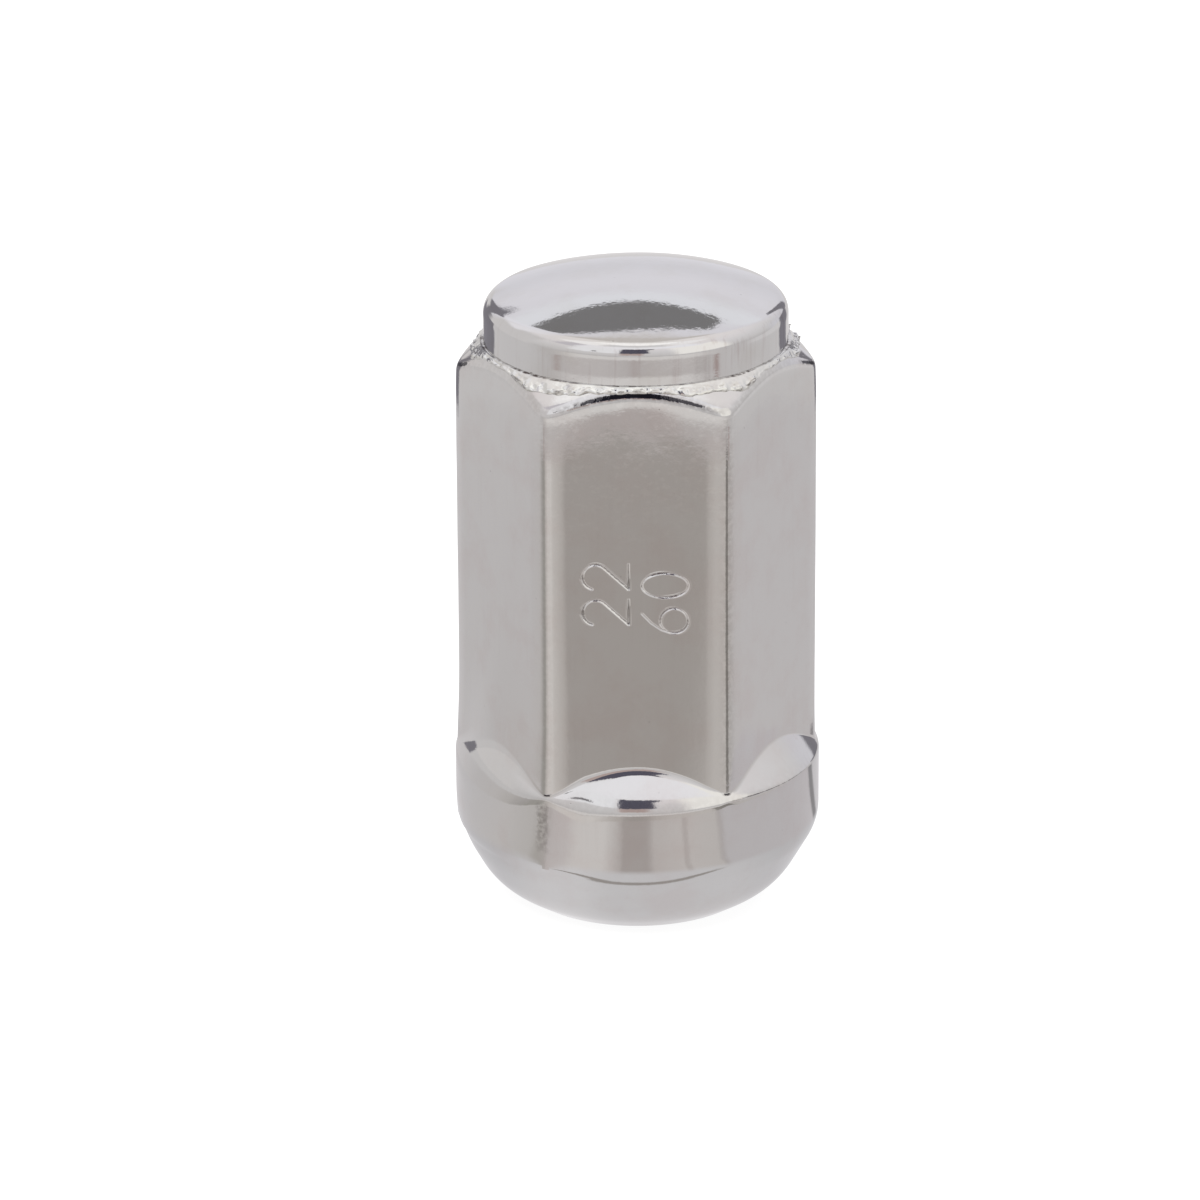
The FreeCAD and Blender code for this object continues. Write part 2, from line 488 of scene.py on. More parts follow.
@dataclass(frozen=True)
class StampedNumbers:
    """Plain numbers pressed into the front flat, lying on their side so that they read upwards."""

    digit_height: float = 3.15
    digit_width: float = 1.9
    spacing: float = 2.55
    depth: float = 0.11
    groove: float = 0.095
    lip: float = 0.012
    lines: tuple[tuple[str, float, float], ...] = (("22", -0.55, 23.35), ("60", 3.5, 22.75))

    def strokes(self, digit: str) -> np.ndarray:
        """Centre line of a digit as (n, 2) points in a box 1 wide and 1 high."""
        match digit:
            case "2":
                turn = np.radians(np.linspace(165, -38, 14))
                bow = np.stack([0.5 + 0.47 * np.cos(turn), 0.71 + 0.28 * np.sin(turn)], -1)
                return np.concatenate([bow, [[0.04, 0.0], [1.0, 0.0]]])
            case "6":
                turn = np.radians(np.linspace(150, -210, 26))
                bowl = np.stack([0.5 + 0.47 * np.cos(turn), 0.31 + 0.30 * np.sin(turn)], -1)
                neck = np.array([[0.78, 1.0], [0.42, 0.80], [0.16, 0.58]])
                return np.concatenate([neck, bowl])
            case _:
                turn = np.radians(np.linspace(0, 360, 30))
                return np.stack([0.5 + 0.46 * np.cos(turn), 0.5 + 0.5 * np.sin(turn)], -1)

    def press(self, across: np.ndarray, heights: np.ndarray) -> np.ndarray:
        """Depth of the stamped grooves, as outward displacement of the flat.

        Each stroke is a V groove whose depth falls off with the distance to the nearest centre line, with a
        slight raised lip beside it. The pressure follows a slow sine over the flat that differs from digit to
        digit.

        Args:
            across: X of each point in millimetres.
            heights: Z of each point in millimetres.

        Returns:
            Displacement in millimetres, negative in a groove.
        """
        result = np.zeros_like(across)
        for text, foot, start in self.lines:
            for place, digit in enumerate(text):
                shape = self.strokes(digit)
                foot_x = foot - shape[:, 1] * self.digit_height
                foot_z = start + place * self.spacing + shape[:, 0] * self.digit_width
                line = np.stack([foot_x, foot_z], -1)
                a, b = line[:-1], line[1:]
                run = b - a
                offset_x = across[..., None] - a[:, 0]
                offset_z = heights[..., None] - a[:, 1]
                share = np.clip((offset_x * run[:, 0] + offset_z * run[:, 1]) / (run**2).sum(1), 0, 1)
                gap = np.hypot(offset_x - share * run[:, 0], offset_z - share * run[:, 1]).min(-1)
                pressure = 0.75 + 0.35 * np.sin(2.1 * across + 1.7 * heights + 3.0 * place)
                groove = -self.depth * np.clip(1 - gap / self.groove, 0, 1) ** 1.4
                lip = self.lip * np.exp(-(((gap - 1.25 * self.groove) / (0.45 * self.groove)) ** 2))
                result = result + pressure * (groove + lip)
        return result


# --------------------------------------------------------------------------------------------------------------
# Node helpers and shared effects
# --------------------------------------------------------------------------------------------------------------

Value = bpy.types.NodeSocket | float | tuple


class Wiring:
    """Adds nodes to one node tree and joins them."""

    def __init__(self, tree: bpy.types.NodeTree) -> None:
        """Takes the tree."""
        self.tree = tree

    def feed(self, socket: bpy.types.NodeSocket, value: Value) -> None:
        """Links a socket into another, or sets its value."""
        if isinstance(value, bpy.types.NodeSocket):
            self.tree.links.new(value, socket)
        else:
            socket.default_value = value

    def node(
        self, kind: str, settings: dict | None = None, inputs: dict | None = None
    ) -> bpy.types.Node:
        """Adds a node.

        Args:
            kind: Blender's name of the node type.
            settings: Properties to set.
            inputs: Values or sockets by input name or number.

        Returns:
            The node.
        """
        made = self.tree.nodes.new(kind)
        for name, value in (settings or {}).items():
            setattr(made, name, value)
        for name, value in (inputs or {}).items():
            self.feed(made.inputs[name], value)
        return made

    def math(self, operation: str, *values: Value, clamp: bool = False) -> bpy.types.NodeSocket:
        """Result of a Math node."""
        settings = {"operation": operation, "use_clamp": clamp}
        return self.node("ShaderNodeMath", settings, dict(enumerate(values))).outputs[0]

    def smooth(self, value: Value, low: float, high: float) -> bpy.types.NodeSocket:
        """0 below low, 1 above high, and a smooth step between; falls instead where low is above high."""
        settings = {"interpolation_type": "SMOOTHSTEP"}
        if low <= high:
            inputs = {"Value": value, "From Min": low, "From Max": high, "To Min": 0.0, "To Max": 1.0}
        else:
            inputs = {"Value": value, "From Min": high, "From Max": low, "To Min": 1.0, "To Max": 0.0}
        return self.node("ShaderNodeMapRange", settings, inputs).outputs["Result"]

    def mix(self, share: Value, first: Value, second: Value) -> bpy.types.NodeSocket:
        """Colour between two."""
        made = self.node("ShaderNodeMix", {"data_type": "RGBA"})
        self.feed(made.inputs["Factor"], share)
        self.feed(made.inputs[6], first)
        self.feed(made.inputs[7], second)
        return made.outputs[2]

    def ramp(self, place: Value, stops: list[tuple[float, Tone]]) -> bpy.types.NodeSocket:
        """Colour read from a ramp of (place, colour) stops."""
        made = self.node("ShaderNodeValToRGB", inputs={0: place})
        elements = made.color_ramp.elements
        while len(elements) > 1:
            elements.remove(elements[-1])
        elements[0].position = stops[0][0]
        elements[0].color = (*stops[0][1], 1.0)
        for position, colour in stops[1:]:
            elements.new(position).color = (*colour, 1.0)
        return made.outputs["Color"]

    def scaled(self, vector: Value, scale: tuple[float, float, float]) -> bpy.types.NodeSocket:
        """Vector times a scale, part by part."""
        return self.node("ShaderNodeVectorMath", {"operation": "MULTIPLY"}, {0: vector, 1: scale}).outputs[0]

    def noise(self, vector: Value, scale: Value, detail: float, roughness: float = 0.5) -> bpy.types.NodeSocket:
        """Value of a Noise Texture."""
        inputs = {"Vector": vector, "Scale": scale, "Detail": detail, "Roughness": roughness}
        return self.node("ShaderNodeTexNoise", inputs=inputs).outputs[0]


def effect_group(name: str, inputs: dict[str, float], outputs: list[str]) -> tuple[bpy.types.NodeTree, Wiring]:
    """Empty shader node group that takes a Vector in millimetres and named numbers, and puts out named values.

    Args:
        name: The group's name.
        inputs: Names of its number inputs with their usual values.
        outputs: Names of its outputs.

    Returns:
        The group and the wiring to fill it with; its group input and output nodes are named "in" and "out".
    """
    tree = bpy.data.node_groups.new(name, "ShaderNodeTree")
    tree.interface.new_socket("Vector", in_out="INPUT", socket_type="NodeSocketVector")
    for label, usual in inputs.items():
        tree.interface.new_socket(label, in_out="INPUT", socket_type="NodeSocketFloat").default_value = usual
    for label in outputs:
        tree.interface.new_socket(label, in_out="OUTPUT", socket_type="NodeSocketFloat")
    tree.nodes.new("NodeGroupInput").name = "in"
    tree.nodes.new("NodeGroupOutput").name = "out"
    return tree, Wiring(tree)


class SurfaceEffects:
    """Node groups that all finishes of the nut share."""

    def __init__(self) -> None:
        """Builds the groups."""
        self.peel = self._peel()
        self.streaks = self._streaks()
        self.stains = self._stains()
        self.pits = self._pits()
        self.mottle = self._mottle()
        self.soot_and_painted_darkening = self._soot_and_painted_darkening()

    def _peel(self) -> bpy.types.NodeTree:
        """Unevenness of plating over forged steel: slow waves, fine ones on them, and rough ones where worn."""
        usual = {"Size": 1.0, "Fine": 0.5, "Worn": 0.0}
        tree, wiring = effect_group("plating_peel", usual, ["Height"])
        source, sink = tree.nodes["in"], tree.nodes["out"]
        scale = wiring.math("DIVIDE", 1.0, source.outputs["Size"])
        slow = wiring.noise(source.outputs["Vector"], scale, 1.0)
        fine = wiring.noise(source.outputs["Vector"], wiring.math("MULTIPLY", scale, 4.0), 3.0, 0.6)
        rough = wiring.noise(source.outputs["Vector"], 2.1, 2.0, 0.55)
        height = wiring.math("MULTIPLY_ADD", fine, source.outputs["Fine"], slow)
        height = wiring.math("MULTIPLY_ADD", rough, source.outputs["Worn"], height)
        wiring.feed(sink.inputs["Height"], height)
        return tree

    def _streaks(self) -> bpy.types.NodeTree:
        """Faint drawn lines that run up the nut, but not on its dome: noise stretched along Z, at its peaks."""
        tree, wiring = effect_group("drawn_streaks", {"Share": 0.5}, ["Height", "Mask"])
        source, sink = tree.nodes["in"], tree.nodes["out"]
        stretched = wiring.scaled(source.outputs["Vector"], (2.6, 2.6, 0.09))
        lines = wiring.noise(stretched, 1.0, 4.0, 0.6)
        patches = wiring.noise(source.outputs["Vector"], 0.21, 2.0)
        height = wiring.node("ShaderNodeSeparateXYZ", inputs={0: source.outputs["Vector"]}).outputs["Z"]
        present = wiring.math("MULTIPLY", wiring.smooth(patches, 0.62, 0.40), wiring.smooth(height, 43.6, 42.6))
        peak = wiring.smooth(lines, 0.50, 0.72)
        mask = wiring.math("MULTIPLY", wiring.math("MULTIPLY", peak, present), source.outputs["Share"])
        wiring.feed(sink.inputs["Height"], wiring.math("MULTIPLY", lines, source.outputs["Share"]))
        wiring.feed(sink.inputs["Mask"], mask)
        return tree

    def _stains(self) -> bpy.types.NodeTree:
        """Cloudy patches where the plating is thinner or touched."""
        tree, wiring = effect_group("plating_stains", {"Size": 4.0}, ["Mask"])
        source, sink = tree.nodes["in"], tree.nodes["out"]
        scale = wiring.math("DIVIDE", 1.0, source.outputs["Size"])
        cloud = wiring.noise(source.outputs["Vector"], scale, 6.0, 0.62)
        wiring.feed(sink.inputs["Mask"], wiring.smooth(cloud, 0.42, 0.68))
        return tree

    def _pits(self) -> bpy.types.NodeTree:
        """Sparse pinholes: the small cells of a Voronoi pattern, kept where a second noise is high."""
        tree, wiring = effect_group("plating_pits", {"Density": 1.2}, ["Height", "Mask"])
        source, sink = tree.nodes["in"], tree.nodes["out"]
        inputs = {"Vector": source.outputs["Vector"], "Scale": source.outputs["Density"]}
        cells = wiring.node("ShaderNodeTexVoronoi", {"feature": "F1"}, inputs)
        hole = wiring.smooth(cells.outputs["Distance"], 0.11, 0.04)
        picked = wiring.smooth(wiring.noise(source.outputs["Vector"], 0.7, 2.0), 0.62, 0.70)
        mask = wiring.math("MULTIPLY", hole, picked)
        wiring.feed(sink.inputs["Mask"], mask)
        wiring.feed(sink.inputs["Height"], wiring.math("MULTIPLY", mask, -1.0))
        return tree

    def _mottle(self) -> bpy.types.NodeTree:
        """Short dabs near the top of the front flat, as a polishing wheel leaves them."""
        tree, wiring = effect_group("polishing_dabs", {"Low": 27.0, "High": 37.0}, ["Mask"])
        source, sink = tree.nodes["in"], tree.nodes["out"]
        stretched = wiring.scaled(source.outputs["Vector"], (1.7, 1.7, 2.3))
        dabs = wiring.smooth(wiring.noise(stretched, 1.0, 4.0, 0.7), 0.50, 0.66)
        parts = wiring.node("ShaderNodeSeparateXYZ", inputs={0: source.outputs["Vector"]}).outputs
        dabs = wiring.math("MULTIPLY", dabs, wiring.smooth(parts["Y"], -9.6, -10.9))
        span = wiring.math("SUBTRACT", source.outputs["High"], source.outputs["Low"])
        risen = wiring.math("SUBTRACT", parts["Z"], source.outputs["Low"])
        share = wiring.math("DIVIDE", risen, span, clamp=True)
        wiring.feed(sink.inputs["Mask"], wiring.math("MULTIPLY", dabs, share))
        return tree

    def _soot_and_painted_darkening(self) -> bpy.types.NodeTree:
        """Dark film of soot, and of painted shade in creases and grooves; ragged painted dark lines above 1."""
        tree, wiring = effect_group("edge_soot_and_painted_darkening", {"Worn": 0.0, "Film Share": 0.5}, ["Film", "Line", "Rough"])
        source, sink = tree.nodes["in"], tree.nodes["out"]
        marking = source.outputs["Worn"]
        level = wiring.math("MINIMUM", marking, 1.0)
        patches = wiring.smooth(wiring.noise(source.outputs["Vector"], 3.0, 2.0), 0.30, 0.62)
        film = wiring.math("MULTIPLY", wiring.math("MULTIPLY", patches, source.outputs["Film Share"]), level)
        frayed = wiring.math("MULTIPLY_ADD", wiring.noise(source.outputs["Vector"], 2.6, 3.0, 0.7), 1.7, -0.85)
        line = wiring.smooth(wiring.math("ADD", marking, frayed), 1.38, 1.62)
        wiring.feed(sink.inputs["Film"], film)
        wiring.feed(sink.inputs["Line"], line)
        wiring.feed(sink.inputs["Rough"], level)
        return tree


@dataclass(frozen=True)
class Plating:
    """Bright plating with its own tone, evenness and marks. Heights of the bump are in millimetres."""

    name: str
    colour: Tone
    stained: Tone
    roughness: float
    dull_roughness: float
    peel_size: float
    peel_height: float
    streak_height: float
    pit_height: float
    peel_fine: float = 0.6
    worn_height: float = 0.019
    stain_size: float = 4.0
    mottled: float = 0.0
    mottle_height: float = 0.0012
    # Share of the dark film: soot on worn places, painted shade in the weld's crease and the stamped grooves
    film_share: float = 0.0
    tint: float = 0.0
    streak_tone: Tone = (0.40, 0.33, 0.32)
    film_tone: Tone = (0.10, 0.08, 0.075)
    # Painted dark lines that stand for dark reflections along rounded edges
    line_tone: Tone = (0.045, 0.042, 0.05)
    painted_line_share: float = 0.94
    pit_share: float = 0.5

    def material(self, effects: SurfaceEffects) -> bpy.types.Material:
        """Builds the material.

        Args:
            effects: The shared node groups.

        Returns:
            The material, with a metallic Principled BSDF whose colour, roughness and normal vary.
        """
        made = bpy.data.materials.new(self.name)
        made.use_nodes = True
        tree = made.node_tree
        wiring = Wiring(tree)
        shader = tree.nodes["Principled BSDF"]
        shader.inputs["Metallic"].default_value = 1.0
        per_metre = 1 / MM
        position = wiring.node("ShaderNodeTexCoord").outputs["Object"]
        place = wiring.scaled(position, (per_metre, per_metre, per_metre))
        # Marking: roughening and soot, painted shade in creases and grooves, painted dark lines above 1
        marking = wiring.node("ShaderNodeAttribute", {"attribute_name": "marking"}).outputs["Fac"]
        soot_and_painted_darkening = self._effect(wiring, effects.soot_and_painted_darkening, place, {"Worn": marking, "Film Share": self.film_share}).outputs
        rough = wiring.math("MULTIPLY", soot_and_painted_darkening["Rough"], self.worn_height / self.peel_height)
        values = {"Size": self.peel_size, "Fine": self.peel_fine, "Worn": rough}
        peel = self._effect(wiring, effects.peel, place, values)
        streaks = self._effect(wiring, effects.streaks, place, {"Share": 1.0})
        stains = self._effect(wiring, effects.stains, place, {"Size": self.stain_size})
        pits = self._effect(wiring, effects.pits, place, {"Density": 1.3})
        mottle = self._effect(wiring, effects.mottle, place, {"Low": 27.0, "High": 37.0}).outputs["Mask"]
        stain = stains.outputs["Mask"]
        colour = wiring.mix(stain, (*self.colour, 1.0), (*self.stained, 1.0))
        lighter = tuple(min(1.25 * part, 1.0) for part in self.colour)
        darker = tuple(0.45 * part for part in self.colour)
        layers = [
            (wiring.math("MULTIPLY", mottle, self.mottled), lighter),
            (wiring.math("MULTIPLY", streaks.outputs["Mask"], self.tint), self.streak_tone),
            # Dark film: soot, and painted shade in the weld's crease and the stamped grooves
            (soot_and_painted_darkening["Film"], self.film_tone),
            # Painted dark lines, which stand for dark reflections along rounded edges
            (wiring.math("MULTIPLY", soot_and_painted_darkening["Line"], self.painted_line_share), self.line_tone),
            (wiring.math("MULTIPLY", pits.outputs["Mask"], self.pit_share), darker),
        ]
        for share, tone in layers:
            colour = wiring.mix(share, colour, (*tone, 1.0))
        wiring.feed(shader.inputs["Base Color"], colour)
        step = self.dull_roughness - self.roughness
        rough = wiring.math("MULTIPLY_ADD", stain, step, self.roughness)
        rough = wiring.math("MULTIPLY_ADD", streaks.outputs["Mask"], 0.5 * step, rough)
        wiring.feed(shader.inputs["Roughness"], rough)
        height = wiring.math("MULTIPLY", peel.outputs["Height"], self.peel_height)
        height = wiring.math("MULTIPLY_ADD", streaks.outputs["Height"], self.streak_height, height)
        height = wiring.math("MULTIPLY_ADD", pits.outputs["Height"], self.pit_height, height)
        height = wiring.math("MULTIPLY_ADD", mottle, self.mottle_height * self.mottled, height)
        bump = wiring.node("ShaderNodeBump", inputs={"Strength": 1.0, "Distance": MM, "Height": height})
        wiring.feed(shader.inputs["Normal"], bump.outputs["Normal"])
        return made

    @staticmethod
    def _effect(
        wiring: Wiring, group: bpy.types.NodeTree, place: Value, values: dict[str, Value]
    ) -> bpy.types.Node:
        """Places a shared group, fed with the position and its values."""
        return wiring.node("ShaderNodeGroup", {"node_tree": group}, {"Vector": place, **values})


@dataclass(frozen=True)
class Finishes:
    """All finishes of the nut."""

    body: Plating = Plating(
        name="body_plating",
        colour=(0.625, 0.62, 0.615),
        stained=(0.61, 0.588, 0.58),
        roughness=0.045,
        dull_roughness=0.085,
        peel_size=1.5,
        peel_height=0.0050,
        streak_height=0.0004,
        pit_height=0.004,
        mottled=0.26,
        film_share=0.45,
        tint=0.04,
    )
    cap: Plating = Plating(
        name="cap_plating",
        colour=(0.625, 0.62, 0.62),
        stained=(0.60, 0.59, 0.58),
        roughness=0.035,
        dull_roughness=0.07,
        peel_size=1.5,
        peel_height=0.0050,
        streak_height=0.0012,
        pit_height=0.003,
        tint=0.38,
    )
    weld: Plating = Plating(
        name="weld_plating",
        colour=(0.68, 0.68, 0.66),
        stained=(0.60, 0.59, 0.565),
        roughness=0.07,
        dull_roughness=0.16,
        peel_size=0.5,
        peel_height=0.010,
        streak_height=0.0,
        pit_height=0.01,
        worn_height=0.0,
        stain_size=0.8,
        film_share=1.0,
    )
    tapped: Plating = Plating(
        name="tapped_steel",
        colour=(0.52, 0.50, 0.48),
        stained=(0.40, 0.37, 0.34),
        roughness=0.22,
        dull_roughness=0.38,
        peel_size=0.9,
        peel_height=0.004,
        streak_height=0.0,
        pit_height=0.004,
    )


# --------------------------------------------------------------------------------------------------------------
# Pieces
# --------------------------------------------------------------------------------------------------------------


@dataclass(frozen=True)
class WornRows:
    """Band of roughened rows round the body, by the rows from a start to its middle."""

    middle: float
    half_rows: float
    power: float = 1.0

    def share(self, row: np.ndarray, start: int) -> np.ndarray:
        """How strongly each row is roughened: (1 - rows from the middle / half rows) ^ power, not below 0."""
        return np.clip(1 - np.abs(row - (start + self.middle)) / self.half_rows, 0, 1) ** self.power


@dataclass
class ForgedBody:
    """Hexagon, ledge, bulge and conical seat forged in one, with the tapped bore and the stamped numbers.

    Its outside is a grid of rows over columns: a rounded profile from the end face to the top of the shoulder,
    at each angle round the axis. The grid has a hole in the front flat, filled with a finer one for the numbers.
    """

    sizes: NutSizes = NutSizes()
    hexagon: HexagonForm = HexagonForm()
    thread: ThreadForm = ThreadForm()
    numbers: StampedNumbers = StampedNumbers()

    # Profile from the end face up to the ledge
    end_face_radius: float = 8.05
    end_face_strip: float = 0.3
    end_edge_radius: float = 0.12
    nose_height: float = 1.45
    nose_radius: float = 5.5
    seat_half_angle: float = 30.0
    seat_height: float = 5.4
    band_height: float = 5.1
    bulge_margin: float = 0.31
    ledge_angle: float = 53.5

    # Roundings, which differ from side to side as forging and polishing leave them
    band_foot_radii: BySide = (4.0, 3.4, 3.6, 5.0, 9.0, 8.5)
    band_top_radii: BySide = (2.4, 0.4, 0.8, 1.2, 1.5, 9.0)
    ledge_foot_radii: BySide = (1.2, 0.4, 0.8, 1.4, 1.2, 5.0)
    shoulder_edge_radii: BySide = (1.3, 1.0, 0.8, 0.9, 1.0, 1.4)

    # Swollen foot of each flat, and how its top leans in below the shoulder
    foot_flares: BySide = (0.0, 0.04, 0.0, 0.04, 0.05, 0.06, 0.08, 0.08, 0.10, 0.22, 0.80, 0.22)
    flare_heights: BySide = (1.3, 1.3, 1.3, 1.3, 1.3, 2.3)
    flare_widths: BySide = (0.65, 0.65, 0.65, 0.65, 0.7, 1.5)
    crown: float = 0.085
    crown_height: float = 0.43
    crown_corner_gain: float = 1.8

    # Slow unevenness, sunk so far that it stays inside the true form
    unevenness: float = 0.010
    sink: float = 2.2
    long_wave: float = 9.0
    short_wave: float = 3.4
    short_wave_share: float = 0.35
    foot_fade: float = 2.0
    top_fade: float = 1.0

    # Roughened places with soot, and painted dark lines that stand for dark reflections on rounded edges
    shoulder_wear: BySide = (0.5, 0.25, 0.25, 0.3, 0.3, 0.16)
    shoulder_worn_rows: WornRows = WornRows(5.5, 5.5, 0.6)
    ledge_wear: BySide = (0.16, 0.25, 0.20, 0.20, 0.15, 0.0)
    ledge_worn_rows: WornRows = WornRows(-22.0, 7.0)
    corner_wear: BySide = (0.26, 0.50, 0.40, 0.40, 0.35, 0.06)
    corner_wear_width: float = 2.2
    scar_wear: float = 0.9
    scar_direction: float = -121.0
    scar_half_width: float = 2.3
    scar_rows: WornRows = WornRows(-31.0, 6.5, 0.4)
    # Stamped grooves: roughened, and darkened with painted shade
    groove_roughening_and_shade: float = 0.55
    # Strength and places of the painted dark lines, which stand for dark reflections
    painted_line_mark: float = 2.0
    painted_dark_lines: tuple[PaintedDarkLine, ...] = (
        PaintedDarkLine(RoundedEdge.SHOULDER, -89.0, 26.0, 1.9, -0.2),
        PaintedDarkLine(RoundedEdge.SHOULDER, -5.0, 6.5, 2.2),
        PaintedDarkLine(RoundedEdge.SHOULDER, -175.5, 5.0, 2.0),
        PaintedDarkLine(RoundedEdge.BAND_TOP, -41.0, 18.0, 0.8),
        PaintedDarkLine(RoundedEdge.LEDGE_FOOT, -119.5, 1.3, 2.5),
        PaintedDarkLine(RoundedEdge.LEDGE_FOOT, -60.5, 1.3, 2.5),
    )

    # Mesh: steps of each corner's arc and of each straight side, where 0 stands for the hexagon's wall
    arc_steps: tuple[int, ...] = (0, 3, 9, 12, 10, 10, 10, 0)
    side_steps: tuple[int, ...] = (1, 3, 8, 8, 7, 0, 6)
    flat_steps: int = 28
    corner_steps: int = 14
    wall_steps: int = 40
    wall_top_shares: tuple[float, ...] = (0.981, 0.9865, 0.991, 0.9945, 0.9975)
    patch_columns: tuple[int, int] = (16, 40)
    patch_rows: tuple[int, int] = (12, 25)
    patch_step: float = 0.048
    patch_inset: float = 0.148
    patch_row_inset: float = 0.4
    bore_columns: int = 96
    bore_step: float = 0.15
    sharp_angle: float = 34.0

    @property
    def bulge_radius(self) -> float:
        """Radius of the band, just outside the hexagon's corners."""
        return self.hexagon.corner_reach + self.bulge_margin

    @property
    def ledge_height(self) -> float:
        """Height of the band's top, where the ledge starts."""
        return self.seat_height + self.band_height

    @property
    def wall_rows(self) -> int:
        """Rows on the hexagon's wall, between its two roundings; they are closer just below the shoulder."""
        return self.wall_steps - 1 + len(self.wall_top_shares)

    @property
    def rows_above_wall(self) -> int:
        """Rows from the first of the shoulder edge's arc to the top."""
        return (self.arc_steps[-2] + 1) + (self.side_steps[-1] - 1) + 1

    def wall_ends(self, reach: np.ndarray) -> tuple[np.ndarray, np.ndarray]:
        """Heights at which the wall meets the ledge and the shoulder: both are cones, so they follow its reach.

        Args:
            reach: Distances of the hexagon's wall from the axis.

        Returns:
            Heights of the wall's foot and of its top.
        """
        ledge_rise = math.tan(math.radians(self.ledge_angle))
        shoulder_drop = math.tan(math.radians(self.sizes.shoulder_angle))
        foot = self.ledge_height + (self.bulge_radius - reach) * ledge_rise
        top = self.sizes.body_height - (reach - self.sizes.cap_radius) * shoulder_drop
        return foot, top

    def _profile(self, angles: np.ndarray, wall: np.ndarray) -> list[np.ndarray]:
        """Rounded outer profile at each angle.

        Args:
            angles: Angles of the columns.
            wall: Shares of the wall's height at which it has points.

        Returns:
            (columns, 2) radius and height for each row.
        """
        one = np.ones_like(angles)
        reach = self.hexagon.reach(angles)
        bulge = self.bulge_radius
        nose = bulge - (self.seat_height - self.nose_height) * math.tan(math.radians(self.seat_half_angle))
        wall_foot, wall_top = self.wall_ends(reach)
        corners = [
            ((self.end_face_radius - self.end_face_strip) * one, 0 * one),
            (self.end_face_radius * one, 0 * one),
            (nose * one, self.nose_height * one),
            (bulge * one, self.seat_height * one),
            (bulge * one, self.ledge_height * one),
            (reach, wall_foot),
            (reach, wall_top),
            (self.sizes.cap_radius * one, self.sizes.body_height * one),
        ]
        radii = [
            0,
            self.end_edge_radius,
            self.nose_radius,
            by_side(angles, self.band_foot_radii),
            by_side(angles, self.band_top_radii),
            by_side(angles, self.ledge_foot_radii),
            by_side(angles, self.shoulder_edge_radii),
            0,
        ]
        runs = [np.linspace(0, 1, steps + 1)[1:-1] if steps else wall for steps in self.side_steps]
        return rounded_profile(corners, radii, self.arc_steps, runs)

    def surface(self, angles: np.ndarray, wall: np.ndarray) -> np.ndarray:
        """Outer surface over angle and profile, slightly uneven as forgings are.

        A point is the profile's radius and height turned to its angle, then moved out by the unevenness and the
        flare.

        Args:
            angles: Angles of the columns.
            wall: Shares of the wall's height at which it has points.

        Returns:
            (rows, columns, 3) positions in millimetres, from the end face to the top of the shoulder.
        """
        rows = np.stack(self._profile(angles, wall))
        points = turned(rows[..., 0], rows[..., 1], angles)
        long_waves = (1 - self.short_wave_share) * gentle_waves(points, 3, self.long_wave)
        waves = long_waves + self.short_wave_share * gentle_waves(points, 5, self.short_wave)
        from_foot = np.clip(points[..., 2] / self.foot_fade, 0, 1)
        from_top = np.clip((self.sizes.body_height - points[..., 2]) / self.top_fade, 0, 1)
        shift = self.unevenness * (waves - self.sink) * (from_foot * from_top) + self._flare(angles, rows)
        return points + shift[..., None] * outward_at(angles)

    def _flare(self, angles: np.ndarray, rows: np.ndarray) -> np.ndarray:
        """How far the foot of each flat swells towards the ledge.

        The swelling falls off up the wall as 1 / (1 + exp((up - height) / width)), and along the ledge it fades
        to nothing at the band. Just below the shoulder the wall leans in, by exp(-distance / crown height), and
        that reaches further down towards the corners.

        Args:
            angles: Angles of the columns.
            rows: (rows, columns, 2) radius and height of the profile.

        Returns:
            (rows, columns) outward shift in millimetres.
        """
        radius, height = rows[..., 0], rows[..., 1]
        reach = self.hexagon.reach(angles)
        bulge = self.bulge_radius
        foot, shoulder = self.wall_ends(reach)
        along = np.clip((bulge - radius) / (bulge - reach), 0, 1)
        above_foot = height - foot - by_side(angles, self.flare_heights)
        upwards = 1 / (1 + np.exp(np.clip(above_foot / by_side(angles, self.flare_widths), -30, 30)))
        swelling = by_side(angles, self.foot_flares) * along * upwards
        flare = np.where(height < self.seat_height, 0.0, swelling)
        rest = np.clip((radius - self.sizes.cap_radius) / (reach - self.sizes.cap_radius), 0, 1)
        flat_end = math.atan(self.hexagon.flat_half_width / self.hexagon.flat_distance)
        towards_corner = np.clip(np.abs(self.hexagon.off_flat(angles)) / flat_end, 0, 1)
        lean_height = self.crown_height * (1 + self.crown_corner_gain * towards_corner**4)
        lean = np.exp(-np.maximum(shoulder - height, 0) / lean_height)
        return flare - self.crown * rest * lean

    def _wear_and_painted_lines(self, angles: np.ndarray, rows: int) -> np.ndarray:
        """How roughened the forging is: on the shoulder's edge, the ledge, the corners and the band's scar.

        Args:
            angles: Angles of the columns.
            rows: Number of rows.

        Returns:
            (rows, columns) values from 0 to 1, and above 1 on the painted dark lines that stand for dark
            reflections.
        """
        row = np.arange(rows)[:, None]
        above = rows - self.rows_above_wall
        wall = above - self.wall_rows
        from_corner = math.pi / 6 - np.abs(self.hexagon.off_flat(angles))
        at_corner = np.exp(-((from_corner / math.radians(self.corner_wear_width)) ** 2))
        on_wall = (row >= wall) & (row < above)
        on_scar = np.exp(-((degrees_from(angles, self.scar_direction) / self.scar_half_width) ** 4))
        places = [
            self.shoulder_worn_rows.share(row, above) * by_side(angles, self.shoulder_wear),
            self.ledge_worn_rows.share(row, wall) * by_side(angles, self.ledge_wear),
            on_wall * at_corner * by_side(angles, self.corner_wear),
            self.scar_wear * on_scar * self.scar_rows.share(row, wall),
        ]
        # Painted dark lines, above 1, which stand for dark reflections
        lines = [self.painted_line_mark * line.share(angles, row, wall, above) for line in self.painted_dark_lines]
        return np.max(np.broadcast_arrays(*places, *lines), axis=0)

